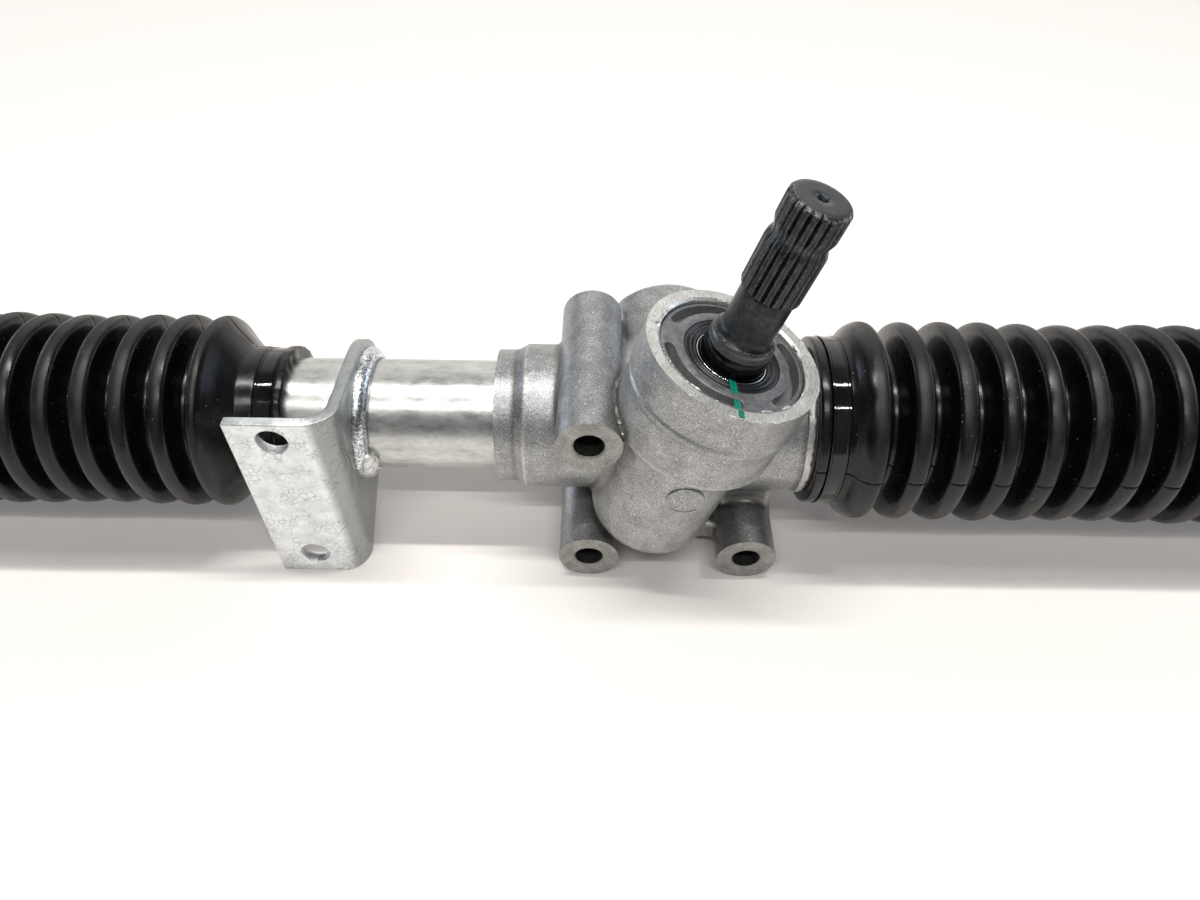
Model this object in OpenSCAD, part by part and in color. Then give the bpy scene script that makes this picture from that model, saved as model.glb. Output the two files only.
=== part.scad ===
// Manual rack-and-pinion steering rack: a die-cast pinion housing, a steel tube pressed
// into it and carrying a welded bracket, the toothed rack bar, and at each end an inner
// ball joint, a tie rod and a convoluted rubber boot.
// Millimetres. +X runs along the rack, +Y away from the mounting faces, +Z is up.
// The origin lies between the two lower bolt holes' axes, straight below the rack's axis.
// "s" is a distance along the tilted pinion axis, counted up from where it crosses the rack.

/* [Bolt pattern] */
// Distance between the two lower bolt holes
lower_bolt_pitch = 48; // [44:0.5:54]
// Height of the upper bolt holes above the lower ones
bolt_rise = 50; // [47:0.5:54]
// Diameter of the holes in the housing's bosses
boss_hole_d = 8.4; // [6.4:0.1:10]
// Outer diameter of the bosses
boss_d = 18; // [16:0.5:20]
// How much a boss's radius shrinks from its front face to its back face
boss_draft = 0.8; // [0.2:0.1:1.4]
// Length of each boss from face to face
boss_len = 55; // [50:1:60]
// Distance of the mounting faces in front of the rack's axis
face_y = 29; // [27:0.5:32]

/* [Rack and pinion] */
// Height of the rack's axis above the lower bolt holes
rack_h = 32; // [30:0.5:32.5]
// Diameter of the rack bar
rack_d = 22; // [20:0.5:24]
// Travel to the left stop, from where the rack stands
travel_left = 70; // [50:1:80]
// Travel to the right stop, from where the rack stands
travel_right = 47; // [40:1:70]
// Number of pinion teeth
pinion_teeth = 8; // [7:1:8]
// Module of the teeth, measured square to them
tooth_module = 2.25; // [2:0.05:2.4]
// Pressure angle of the teeth
pressure_angle = 20; // [18:0.5:22]
// Profile shift of the pinion, in modules
profile_shift = 0.5; // [0.4:0.05:0.6]
// Play between the tooth flanks
backlash = 0.16; // [0.1:0.02:0.3]
// Depth of the rack's tooth reference line in front of the rack's axis
rack_ref = 6; // [5.5:0.1:6.5]
// Length of the pinion's teeth along its axis
gear_len = 28; // [24:0.5:29]
// Lean of the pinion from upright, which is also the teeth's helix angle
pinion_tilt = 17; // [12:0.5:20]
// Place of the pinion along the rack
pinion_x = 0; // [-3:0.5:3]

/* [Pinion shaft] */
// Diameter of the journal in the bearing and the seal
journal_d = 17; // [16:0.5:18]
// Height of the bearing's lower face
bearing_s = 23.2; // [21:0.1:24]
// Top of the seal journal
journal_top_s = 45.3; // [43:0.1:48]
// Diameter of the shank above the journal
shank_d = 13.8; // [12:0.2:14.4]
// Lower end of the spline
spline_s = 63; // [56:1:66]
// Top of the shaft
shaft_top_s = 89.2; // [82:0.2:100]
// Outer diameter of the spline
spline_d = 15.6; // [15:0.1:16.4]
// Number of spline teeth
spline_teeth = 20; // [14:1:28]
// Depth of the spline's grooves
spline_depth = 0.8; // [0.5:0.05:1]
// Width of the ring groove for the pinch bolt
pinch_w = 7; // [5:0.5:9]
// Distance of the ring groove's middle from the top of the shaft
pinch_drop = 10; // [9:0.5:13]
// Diameter of the lower journal
pilot_d = 12; // [10:0.5:14]
// Length of the lower journal
pilot_len = 7; // [5:0.5:8]

/* [Bearing, nut and seal] */
// Outer diameter of the ball bearing
bearing_d = 40; // [38:0.5:41]
// Width of the ball bearing
bearing_w = 12; // [10:0.5:13]
// Diameter of the balls
ball_d = 6.75; // [6:0.05:7]
// Number of balls
ball_count = 8; // [6:1:9]
// Thickness of the threaded ring nut
nut_t = 6.5; // [6:0.1:7]
// Outer diameter of the ring nut
nut_d = 39.6; // [38:0.2:40]
// Diameter of the circle that the nut's wrench slots follow
slot_circle_d = 34.4; // [33.5:0.1:35]
// Width of the wrench slots
slot_w = 2.7; // [2:0.1:3]
// Depth of the wrench slots
slot_depth = 4; // [2:0.2:4.6]
// Angle that each wrench slot covers between its end centres
slot_span = 82; // [40:1:90]
// Outer diameter of the shaft seal
seal_d = 26.4; // [25:0.2:28]
// Height of the shaft seal
seal_h = 4.5; // [3.5:0.1:4.8]

/* [Housing] */
// Diameter of the housing's barrel round the rack
barrel_d = 42.6; // [41:0.2:44]
// Distance of the barrel's left end from the origin
barrel_left = 44; // [42:0.5:46]
// Wall of the collar that holds the tube
collar_wall = 3.3; // [2.6:0.1:3.8]
// Length of the collar beyond the barrel
collar_len = 7; // [5:0.5:12]
// Distance of the barrel's right shoulder from the origin
barrel_right = 38.8; // [36:0.2:42]
// Diameter of the neck that carries the right boot
neck_d = 41.6; // [39:0.2:42]
// Length of the neck beyond the shoulder
neck_len = 12; // [10:0.5:16]
// Diameter of the cup round the bearing and nut
cup_d = 47.4; // [46:0.2:50]
// Height of the cup's rim
rim_s = 42.8; // [42:0.2:46]
// Height of the faint step round the cup
cup_step_s = 28; // [24:0.5:32]
// Height of the ledge under the cup
ledge_s = 14; // [12:0.5:19]
// Diameter of the tower below the ledge
tower_d = 36; // [34:0.5:38]
// Thickness of the tower's closed bottom
tower_floor = 5.5; // [3:0.5:6]
// Radius round the tower's bottom edge
tower_round = 9; // [5:0.5:11]
// Diameter of the round pad on the front of the tower
pad_d = 10.5; // [8:0.5:12]
// Distance of the pad to the right of the origin
pad_x = 2.2; // [0:0.2:4]
// Height of the pad above the lower bolt holes
pad_z = 35; // [32:0.5:38]
// Diameter of the boss behind the rack that holds the support yoke
yoke_boss_d = 40; // [38:0.5:44]
// Distance of that boss's end face behind the rack's axis
yoke_boss_y = 38; // [36:0.5:44]
// Thickness of the flat web between the lower bosses
foot_web_t = 7; // [5:0.5:9]
// Depth of the flat web from front to back
foot_web_depth = 36; // [30:1:44]
// Thickness of the rib between the upper boss and the tower
rib_t = 2.6; // [2:0.1:4]

/* [Tube and bracket] */
// Wall of the plastic bush between the rack bar and the tube
bush_wall = 2.15; // [1.8:0.05:2.4]
// Wall of the rack tube
tube_wall = 3; // [2:0.25:3.5]
// Distance of the tube's free end from the origin
tube_left = 121; // [117:0.5:140]
// Depth to which the tube is pressed into the housing
tube_socket = 14; // [10:0.5:16]
// Length of the plastic rack bush
bush_len = 20; // [14:1:26]
// Thickness of the bracket's plate
plate_t = 3; // [2:0.25:4]
// Distance of the bracket's flange from the origin
bracket_x = 92; // [86:0.2:95]
// Width of the bracket's front plate with its bend
plate_w = 27.2; // [26:0.2:34]
// Height of the bracket's plate above the upper hole
plate_above = 6.5; // [6:0.5:10]
// Distance from the bracket's holes to its flange
bracket_hole_in = 15.5; // [15:0.5:20]
// Diameter of the bracket's holes
bracket_hole_d = 8.4; // [6.4:0.1:10]
// Outer radius of the bracket's bend
bend_r = 8; // [5:0.5:9]
// Margin of the flange round the tube
flange_margin = 5.8; // [4:0.2:7]
// Leg of the weld between tube and flange
weld_leg = 3.8; // [2:0.2:5]

/* [Support yoke] */
// Diameter of the yoke behind the rack
yoke_d = 28; // [24:0.5:30]
// Length of the yoke
yoke_len = 20; // [16:0.5:22]
// Length of the threaded plug
plug_len = 8; // [6:0.5:9]
// Wire diameter of the yoke spring
spring_wire = 2.4; // [1.6:0.1:2.8]
// Outer diameter of the yoke spring
spring_d = 15; // [12:0.5:17]
// Coils of the yoke spring
spring_turns = 4; // [3:1:5]

/* [Ball joints and tie rods] */
// Diameter of the inner balls
ball_joint_d = 22; // [20:0.5:24]
// Wall of the plastic seat round each ball
seat_wall = 1.95; // [1.5:0.05:2.5]
// Outer diameter of the ball sockets
socket_d = 32; // [30:0.5:33]
// Distance from a socket's shoulder to its ball's centre
socket_reach = 20.5; // [19:0.5:26]
// Diameter of the threaded stubs that hold the sockets
stub_d = 14; // [12:0.5:15]
// Length of the stubs
stub_len = 18; // [14:1:24]
// Thickness of the lock washers
washer_t = 1.5; // [1:0.1:2.5]
// Swing of each tie rod to either side
rod_swing = 18; // [10:1:18]
// Diameter of the necks behind the balls
rod_neck_d = 10; // [9:0.25:10.5]
// Diameter of the tie rods
rod_d = 13; // [12:0.5:14]
// Length of each tie rod from its ball's centre
rod_len = 148; // [130:1:180]
// Diameter of the thread at each rod's end
thread_d = 12; // [10:0.5:12.5]
// Length of that thread
thread_len = 50; // [40:1:60]
// Width of the jam nuts across their flats
jam_nut_af = 19; // [17:0.5:22]
// Height of the jam nuts
jam_nut_h = 7; // [5:0.5:9]

/* [Boots] */
// Radial wall of the boots
boot_wall = 2; // [1.5:0.1:2.4]
// Radius of the left boot's crests
crest_r_left = 28.2; // [26:0.2:30]
// Radius of the right boot's crests
crest_r_right = 29.4; // [28:0.2:31]
// Radius in the boots' valleys
valley_r = 21; // [20:0.2:22]
// Convolutions of the left boot
convolutions_left = 13; // [9:1:16]
// Convolutions of the right boot
convolutions_right = 14; // [9:1:16]
// Length of the left boot's cone before its first crest
cone_left = 12; // [10:0.5:20]
// Length of the right boot's cone before its first crest
cone_right = 6.3; // [5:0.1:12]
// Wall of the boots' necks under the cable ties
neck_wall = 3; // [2:0.1:3.6]
// Width of the lip inboard of each cable tie
lip_w = 3.2; // [2:0.1:4]
// Distance from a ball's centre to the boot's outer neck
rod_neck_at = 70.5; // [66:0.5:84]
// Length of the boots' outer necks
rod_neck_len = 14; // [10:0.5:18]
// Width of the cable ties
tie_w = 4.8; // [3.5:0.1:6]
// Thickness of the cable ties
tie_t = 1.2; // [0.8:0.1:1.6]

/* [Clearances] */
// Radial play of parts that turn or slide in one another
running_gap = 0.05; // [0.03:0.01:0.08]
// Gap left at each end stop
stop_gap = 0.3; // [0.2:0.1:1]
// Gap between a cable tie and the neck under it
tie_gap = 0.06; // [0.05:0.01:0.1]
// Play between the rack bar and the housing's bore
rack_play = 1; // [0.8:0.1:1.4]
// Play between the pinion's teeth and the housing's bore
gear_play = 0.6; // [0.4:0.1:1]
// Clearance round a swinging rod's neck
swing_gap = 0.35; // [0.2:0.05:0.5]

/* [Hidden] */
$fn = 96;
// Overshoot of every cut past the face that it opens
over = 1;

// Teeth: the transverse plane lies square to the pinion's axis
pitch = PI * tooth_module;
pitch_r = pinion_teeth * tooth_module / (2 * cos(pinion_tilt));
transverse_angle = atan(tan(pressure_angle) / cos(pinion_tilt));
base_r = pitch_r * cos(transverse_angle);
root_r = pitch_r - (1.25 - profile_shift) * tooth_module;
tip_r = pitch_r + (0.9 + profile_shift) * tooth_module;
pinion_offset = pitch_r + profile_shift * tooth_module + rack_ref;
tooth_w = pitch_r * PI / pinion_teeth
    + 2 * profile_shift * tooth_module * tan(transverse_angle)
    - backlash / cos(pinion_tilt);
helix_turn = gear_len * tan(pinion_tilt) / pitch_r * 180 / PI;
rack_tip_y = rack_ref + tooth_module;
rack_root_y = rack_ref - 1.25 * tooth_module;
first_space = -ceil((travel_right + tip_r) / pitch);
last_space = ceil((travel_left + tip_r) / pitch);

// Places along the pinion's axis
bearing_top_s = bearing_s + bearing_w;
circlip_t = 1.2;
nut_top_s = bearing_top_s + nut_t;
seal_top_s = nut_top_s - 0.2;
seal_low_s = seal_top_s - seal_h;
gear_end_s = gear_len / 2;
core_end_s = gear_end_s + 1;
bush_top_s = -core_end_s - 0.3;
pilot_low_s = -core_end_s - pilot_len;
pilot_pocket_s = pilot_low_s - 1;
tower_low_s = pilot_pocket_s - tower_floor;
pilot_wall = 3;
gear_bore_r = tip_r + gear_play;
ball_circle_r = (journal_d + bearing_d) / 4;
ball_r = ball_d / 2;
groove_r = ball_r + 0.08;
inner_shoulder_r = ball_circle_r - ball_r * 0.6;
outer_shoulder_r = ball_circle_r + ball_r * 0.6;
pinch_s = shaft_top_s - pinch_drop;

// Tube, from the bush that guides the rack outwards
tube_in_r = rack_d / 2 + running_gap + bush_wall;
tube_d = 2 * (tube_in_r + tube_wall);
collar_d = tube_d + 2 * collar_wall;

// Places along the rack
collar_left = barrel_left + collar_len;
tube_right = collar_left - tube_socket;
neck_right = barrel_right + neck_len;
rack_left = tube_left + travel_right + stop_gap;
rack_right = neck_right + travel_left + stop_gap;
ball_left_x = -(rack_left + washer_t + socket_reach);
ball_right_x = rack_right + washer_t + socket_reach;
rack_bore_r = rack_d / 2 + rack_play;

// Bolt bosses
boss_x = lower_bolt_pitch / 2;
boss_front = -face_y;
boss_back = boss_len - face_y;
foot_z = -boss_d / 2;

// Support yoke
yoke_front_y = 4;
yoke_back_y = yoke_front_y + yoke_len;
plug_back_y = yoke_boss_y - 1;
plug_front_y = plug_back_y - plug_len;
plug_recess = 3;
spring_pocket = 7;

// Ball joints
ball_joint_r = ball_joint_d / 2;
seat_in_r = ball_joint_r + running_gap;
seat_out_r = seat_in_r + seat_wall;
socket_in_r = seat_out_r + running_gap;
// A rod tilted about both axes at once leans further than about one
full_swing = acos(cos(rod_swing) * cos(rod_swing));
rod_neck_len_in = 20;

// Boots
tube_neck_r = tube_d / 2 + neck_wall;
housing_neck_r = neck_d / 2 + neck_wall;
rod_neck_r = rod_d / 2 + neck_wall;
// Groove that keeps the tie on the rod's neck
rod_groove_r = rod_neck_r - 0.4;
rod_groove_at = 4.7;
tube_in_boot = 2.9;
boot_left_x = tube_left - lip_w - tie_w - tube_in_boot;
boot_right_x = barrel_right + 0.5;

// Places the children on the tilted pinion axis
module on_pinion() translate([pinion_x, -pinion_offset, rack_h]) rotate([0, pinion_tilt, 0]) children();

// Turns the children's +Z along the rack, to the right (side = 1) or to the left (side = -1)
module on_rack(x, side = 1) translate([x, 0, rack_h]) rotate([0, 90 * side, 0]) children();

// Turns the children's +Z away from the mounting faces
module facing_back(x, y, z) translate([x, y, z]) rotate([-90, 0, 0]) children();

// A ring between two radii and two heights
module ring(inner, outer, low, high)
    rotate_extrude() translate([inner, low]) square([outer - inner, high - low]);

// A plain round hole or bar between two heights
module bar(r, low, high) translate([0, 0, low]) cylinder(r = r, h = high - low);

// Points of an arc round (x, y), from one angle to another
function arc(x, y, r, from, to, steps = 8) =
    [for (i = [0:steps]) let (a = from + (to - from) * i / steps) [x + r * cos(a), y + r * sin(a)]];

// HOUSING

// Barrel, tube collar and boot neck, turned about the rack's axis
module barrel() {
    slope = 2.6;
    edge = 0.8;
    bead = 0.5;
    bead_w = 2.4;
    on_rack(0) rotate_extrude() polygon([
        [0, -collar_left],
        [collar_d / 2 - edge, -collar_left],
        [collar_d / 2, -collar_left + edge],
        [collar_d / 2, -barrel_left - slope / 2],
        [barrel_d / 2, -barrel_left + slope / 2],
        [barrel_d / 2 - 0.3, barrel_right - bead_w],
        [barrel_d / 2 + bead, barrel_right - bead_w + 0.3],
        [barrel_d / 2 + bead, barrel_right - 0.3],
        [neck_d / 2, barrel_right],
        [neck_d / 2, neck_right - edge],
        [neck_d / 2 - edge, neck_right],
        [0, neck_right]
    ]);
}

// Pinion tower with its overhanging cup, turned about the pinion's axis
module tower() {
    tower_r = tower_d / 2;
    cup_r = cup_d / 2;
    step = 0.4;
    edge = 0.8;
    on_pinion() rotate_extrude() polygon(concat(
        [[0, tower_low_s]],
        arc(tower_r - tower_round, tower_low_s + tower_round, tower_round, -90, 0),
        [[tower_r, ledge_s]],
        arc(cup_r - step - 2, ledge_s + 2, 2, -90, 0, 4),
        [[cup_r - step, cup_step_s], [cup_r, cup_step_s + step]],
        [[cup_r, rim_s - edge], [cup_r - edge, rim_s], [0, rim_s]]
    ));
}

// Boss behind the rack for the yoke, with a rounded outer edge
module yoke_boss() {
    round_r = 3;
    facing_back(pinion_x, 0, rack_h) rotate_extrude() polygon(concat(
        [[0, 0], [yoke_boss_d / 2, 0]],
        arc(yoke_boss_d / 2 - round_r, yoke_boss_y - round_r, round_r, 0, 90),
        [[0, yoke_boss_y]]
    ));
}

// One bolt boss with lightly broken edges, drafted so that the die could be pulled
module boss(x, z) {
    edge = 0.5;
    front_r = boss_d / 2;
    back_r = front_r - boss_draft;
    facing_back(x, boss_front, z) rotate_extrude() polygon([
        [0, 0], [front_r - edge, 0], [front_r, edge],
        [back_r, boss_len - edge], [back_r - edge, boss_len], [0, boss_len]
    ]);
}

// Wall a little narrower than a boss, from the boss up to the barrel
module boss_wall(x, front, back) {
    wall_w = boss_d - 2 * boss_draft - 0.4;
    translate([x - wall_w / 2, front, 0]) cube([wall_w, back - front, rack_h]);
}

// Flat web between the lower bosses and the walls that carry them
module foot_web() {
    wall_back = 12.5;
    translate([-boss_x, -foot_web_depth / 2, -foot_web_t / 2])
        cube([lower_bolt_pitch, foot_web_depth, foot_web_t]);
    boss_wall(boss_x, -wall_back, wall_back);
    boss_wall(-boss_x, -wall_back / 3, wall_back);
}

// Thin rib between the upper boss and the tower, leaning away from the boss towards the front
module upper_rib() {
    lean = 6;
    side = [
        [0, rack_h + rack_bore_r + 4], [0, bolt_rise + rib_t / 2],
        [boss_front + 3, bolt_rise - rib_t / 2], [boss_front / 2, rack_h + 4]
    ];
    translate([-boss_x + boss_d / 2 - rib_t / 2, 0, 0]) rotate([90, 0, 90 + lean])
        translate([0, 0, -rib_t / 2]) linear_extrude(rib_t) polygon(side);
}

// Flat round pad on the tower's curved front
module front_pad() {
    pad_lift = 0.3;
    translate([pad_x, -pinion_offset - tower_d / 2 - pad_lift, pad_z])
        rotate([-90, 0, 0]) cylinder(d = pad_d, h = tower_d / 2);
}

module housing_bores() {
    // Rack and tube
    on_rack(0) bar(rack_bore_r, -tube_right - over, neck_right + over);
    on_rack(0) bar(tube_d / 2, -collar_left - over, -tube_right);
    // Yoke
    facing_back(pinion_x, 0, rack_h) bar(yoke_d / 2 + running_gap, 0, yoke_boss_y + over);
    // Pinion, lower bush, bearing seat and nut thread
    on_pinion() {
        bar(gear_bore_r, bush_top_s, bearing_s + over);
        bar(pilot_d / 2 + pilot_wall, pilot_pocket_s, 0);
        bar(bearing_d / 2, bearing_s, rim_s + over);
        translate([0, 0, rim_s - 0.8]) cylinder(r1 = bearing_d / 2, r2 = bearing_d / 2 + 1, h = 0.81);
    }
    // Bolt holes
    for (at = [[-boss_x, 0], [boss_x, 0], [-boss_x, bolt_rise]])
        facing_back(at[0], 0, at[1]) bar(boss_hole_d / 2, boss_front - over, boss_back + over);
}

module housing() color("#b9bab8") difference() {
    union() {
        barrel();
        tower();
        yoke_boss();
        boss(-boss_x, 0);
        boss(boss_x, 0);
        boss(-boss_x, bolt_rise);
        foot_web();
        upper_rib();
        front_pad();
    }
    housing_bores();
}

// TUBE AND BRACKET

module rack_tube() color("#c8cac8") on_rack(0)
    ring(tube_in_r, tube_d / 2, -tube_left, -tube_right);

// Plastic bush in the tube's free end, split by one slot so that it snaps in
module rack_bush() color("#e8e4d8") on_rack(-tube_left + 1) difference() {
    ring(tube_in_r - bush_wall, tube_in_r, 0, bush_len);
    translate([0, -0.75, -over]) cube([tube_d, 1.5, bush_len * 0.7 + over]);
}

// Point where a line from p touches the circle of radius r round the rack's axis, in Y and Z.
// side is 1 for the upper tangent and -1 for the lower one.
function tangent(p, r, side) =
    let (dy = p[0], dz = p[1] - rack_h, a = atan2(dz, dy) - side * acos(r / norm([dy, dz])))
    [r * cos(a), rack_h + r * sin(a)];

// Bent plate: a front plate with two bolt holes and a flange that the tube passes through
module bracket() {
    plate_front = boss_front;
    plate_top = bolt_rise + plate_above;
    flange_r = tube_d / 2 + flange_margin;
    bend_x = -bracket_x - bend_r;
    bend_y = plate_front + bend_r;
    low = [bend_y, foot_z];
    high = [bend_y, plate_top];
    color("#b4b8b8") difference() {
        union() {
            // Front plate
            translate([-bracket_x - plate_w, plate_front, foot_z])
                cube([plate_w - bend_r, plate_t, plate_top - foot_z]);
            // Bend
            translate([bend_x, bend_y, foot_z]) intersection() {
                ring(bend_r - plate_t, bend_r, 0, plate_top - foot_z);
                translate([0, -bend_r - over, 0]) cube([bend_r + over, bend_r + over, plate_top - foot_z]);
            }
            // Flange
            translate([-bracket_x - plate_t, 0, 0]) rotate([90, 0, 90]) linear_extrude(plate_t) {
                polygon([low, high, tangent(high, flange_r, 1), [0, rack_h], tangent(low, flange_r, -1)]);
                translate([0, rack_h]) circle(r = flange_r);
            }
        }
        on_rack(0) bar(tube_d / 2, -tube_left, -barrel_left);
        for (z = [0, bolt_rise])
            facing_back(-bracket_x - bracket_hole_in, plate_front, z)
                bar(bracket_hole_d / 2, -over, plate_t + over);
    }
}

// Fillet weld round the tube, full and slightly domed
module bracket_weld() {
    leg = weld_leg;
    color("#9fa3a4") on_rack(-bracket_x) rotate_extrude() polygon(concat(
        [[tube_d / 2, 0]],
        arc(tube_d / 2 + leg * 0.1, leg * 0.1, leg * 0.9, 90, 0, 6),
        [[tube_d / 2 + leg * 0.1 + leg * 0.9, 0]]
    ));
}

// PINION

// Involute function, in degrees
function inv(a) = tan(a) * 180 / PI - a;

// Half of a tooth's angle at radius r
function half_tooth(r) =
    tooth_w / (2 * pitch_r) * 180 / PI + inv(transverse_angle) - inv(acos(min(1, base_r / r)));

// Points on one flank, from the root out to the tip
flank_steps = 4;
flank_r = concat([root_r], [for (i = [0:flank_steps]) base_r + (tip_r - base_r) * i / flank_steps]);

// Outline of the pinion, square to its axis, with one tooth centred on angle 0
function pinion_outline() = [
    for (tooth = [0:pinion_teeth - 1])
        for (side = [-1, 1])
            for (i = [0:flank_steps + 1])
                let (
                    r = flank_r[side < 0 ? i : flank_steps + 1 - i],
                    a = tooth * 360 / pinion_teeth + side * half_tooth(max(r, base_r))
                )
                [r * cos(a), r * sin(a)]
];

// Helical teeth, with the tooth at the rack standing straight up along the rack's tooth space
module gear() translate([0, 0, -gear_end_s]) rotate([0, 0, 90 - helix_turn / 2])
    linear_extrude(gear_len, twist = -helix_turn, slices = 12) polygon(pinion_outline());

// Straight-sided spline teeth
module spline() {
    step = 360 / spline_teeth;
    tip = spline_d / 2;
    valley = tip - spline_depth;
    linear_extrude(shaft_top_s - spline_s) polygon([
        for (i = [0:spline_teeth - 1])
            for (corner = [[-0.42, valley], [-0.2, tip], [0.2, tip], [0.42, valley]])
                let (a = (i + corner[0]) * step)
                [corner[1] * cos(a), corner[1] * sin(a)]
    ]);
}

module pinion_shaft() {
    journal_r = journal_d / 2;
    shank_r = shank_d / 2;
    shoulder_r = journal_r + 2;
    core_r = root_r - 0.2;
    clip_r = journal_r - 0.5;
    clip_top = bearing_top_s + circlip_t;
    cone = 2;
    spline_r = spline_d / 2;
    flat_r = spline_r - 1;
    color("#3a3c3e") on_pinion() difference() {
        union() {
            gear();
            rotate_extrude() polygon([
                [0, pilot_low_s], [pilot_d / 2 - 0.6, pilot_low_s], [pilot_d / 2, pilot_low_s + 0.6],
                [pilot_d / 2, -core_end_s], [core_r, -core_end_s], [core_r, core_end_s],
                [shoulder_r, core_end_s], [shoulder_r, bearing_s], [journal_r, bearing_s],
                [journal_r, bearing_top_s], [clip_r, bearing_top_s], [clip_r, clip_top],
                [journal_r, clip_top], [journal_r, journal_top_s],
                [shank_r, journal_top_s + cone], [shank_r, spline_s + over], [0, spline_s + over]
            ]);
            intersection() {
                translate([0, 0, spline_s]) spline();
                rotate_extrude() polygon([
                    [0, spline_s - over], [shank_r - 0.2, spline_s - over], [spline_r + over, spline_s + 3],
                    [spline_r + over, pinch_s - pinch_w / 2], [spline_r - 0.6, pinch_s - pinch_w / 2 + 1.5],
                    [spline_r - 0.6, pinch_s + pinch_w / 2 - 1.5], [spline_r + over, pinch_s + pinch_w / 2],
                    [spline_r + over, shaft_top_s - 1 - over], [flat_r, shaft_top_s], [0, shaft_top_s]
                ]);
            }
        }
        // Centre drilling in the top
        bar(1.2, shaft_top_s - 6, shaft_top_s + over);
        translate([0, 0, shaft_top_s - 1.2]) cylinder(r1 = 1.2, r2 = 2.4, h = 1.21);
    }
}

// Race that the balls roll in
module race() rotate_extrude() translate([ball_circle_r, bearing_s + bearing_w / 2]) circle(r = groove_r);

module bearing_inner_ring() color("#c9ccd0") on_pinion() difference() {
    ring(journal_d / 2, inner_shoulder_r, bearing_s, bearing_top_s);
    race();
}

module bearing_outer_ring() color("#c9ccd0") on_pinion() difference() {
    ring(outer_shoulder_r, bearing_d / 2, bearing_s, bearing_top_s);
    race();
}

// Puts one copy of the children at each ball
module at_balls() for (i = [0:ball_count - 1])
    rotate([0, 0, i * 360 / ball_count]) translate([ball_circle_r, 0, bearing_s + bearing_w / 2]) children();

module bearing_balls() color("#dfe2e6") on_pinion() at_balls() sphere(r = ball_r);

module bearing_cage() {
    half_w = ball_r + 0.8;
    middle = bearing_s + bearing_w / 2;
    color("#b08d4a") on_pinion() difference() {
        ring(ball_circle_r - 0.6, ball_circle_r + 0.6, middle - half_w, middle + half_w);
        at_balls() rotate([0, 90, 0]) cylinder(r = ball_r + 0.15, h = ball_r, center = true);
    }
}

// Open spring ring that keeps the bearing on the shaft
module pinion_circlip() {
    clip_r = journal_d / 2 - 0.5;
    color("#55585c") on_pinion() difference() {
        ring(clip_r, clip_r + 2.3, bearing_top_s, bearing_top_s + circlip_t);
        translate([0, -1.5, bearing_top_s - over]) cube([journal_d, 3, circlip_t + 2 * over]);
    }
}

// Curved wrench slot centred on angle a, with round ends
module wrench_slot(a) {
    r = slot_circle_d / 2;
    half_w = slot_w / 2;
    from = a - slot_span / 2;
    to = a + slot_span / 2;
    translate([0, 0, nut_top_s - slot_depth]) linear_extrude(slot_depth + over) polygon(concat(
        arc(0, 0, r + half_w, from, to, 20),
        arc(r * cos(to), r * sin(to), half_w, to, to + 180),
        arc(0, 0, r - half_w, to, from, 20),
        arc(r * cos(from), r * sin(from), half_w, from - 180, from)
    ));
}

// Ring nut that holds the bearing's outer ring down and carries the seal
module pinion_nut() {
    nut_r = nut_d / 2;
    seal_r = seal_d / 2;
    seat_r = seal_r - 1.6;
    relief = 0.8;
    edge = 0.5;
    color("#6b6e72") on_pinion() difference() {
        rotate_extrude() polygon([
            [seat_r, bearing_top_s + relief], [outer_shoulder_r, bearing_top_s + relief],
            [outer_shoulder_r, bearing_top_s], [nut_r - edge, bearing_top_s],
            [nut_r, bearing_top_s + edge], [nut_r, nut_top_s - edge], [nut_r - edge, nut_top_s],
            [seal_r, nut_top_s], [seal_r, seal_low_s], [seat_r, seal_low_s]
        ]);
        for (i = [0:2]) wrench_slot(-11 + i * 120);
    }
}

// Rubber shaft seal with an outer rib, a dished face and a lip on the journal
module pinion_seal() color("#1f2123") on_pinion() rotate_extrude() polygon([
    [journal_d / 2 + running_gap, seal_low_s + 1], [journal_d / 2 + 1.4, seal_low_s],
    [seal_d / 2, seal_low_s], [seal_d / 2, seal_top_s], [seal_d / 2 - 1.2, seal_top_s],
    [seal_d / 2 - 1.8, seal_top_s - 0.9], [journal_d / 2 + 1.7, seal_top_s - 0.9],
    [journal_d / 2 + 1.2, seal_top_s - 0.2], [journal_d / 2 + running_gap, seal_top_s - 0.6]
]);

// Drawn-cup bush for the pinion's lower journal
module pinion_bush() color("#a9adb2") on_pinion()
    ring(pilot_d / 2 + running_gap, pilot_d / 2 + pilot_wall, pilot_low_s, bush_top_s);

// RACK

// One space between two rack teeth, centred on 0 and cut along Y
module rack_space() {
    half = pitch / 4;
    slope = tan(pressure_angle);
    top = rack_tip_y + over;
    polygon([
        [half + (rack_root_y - rack_ref) * slope, -rack_root_y],
        [half + (top - rack_ref) * slope, -top],
        [-half - (top - rack_ref) * slope, -top],
        [-half - (rack_root_y - rack_ref) * slope, -rack_root_y]
    ]);
}

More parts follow.
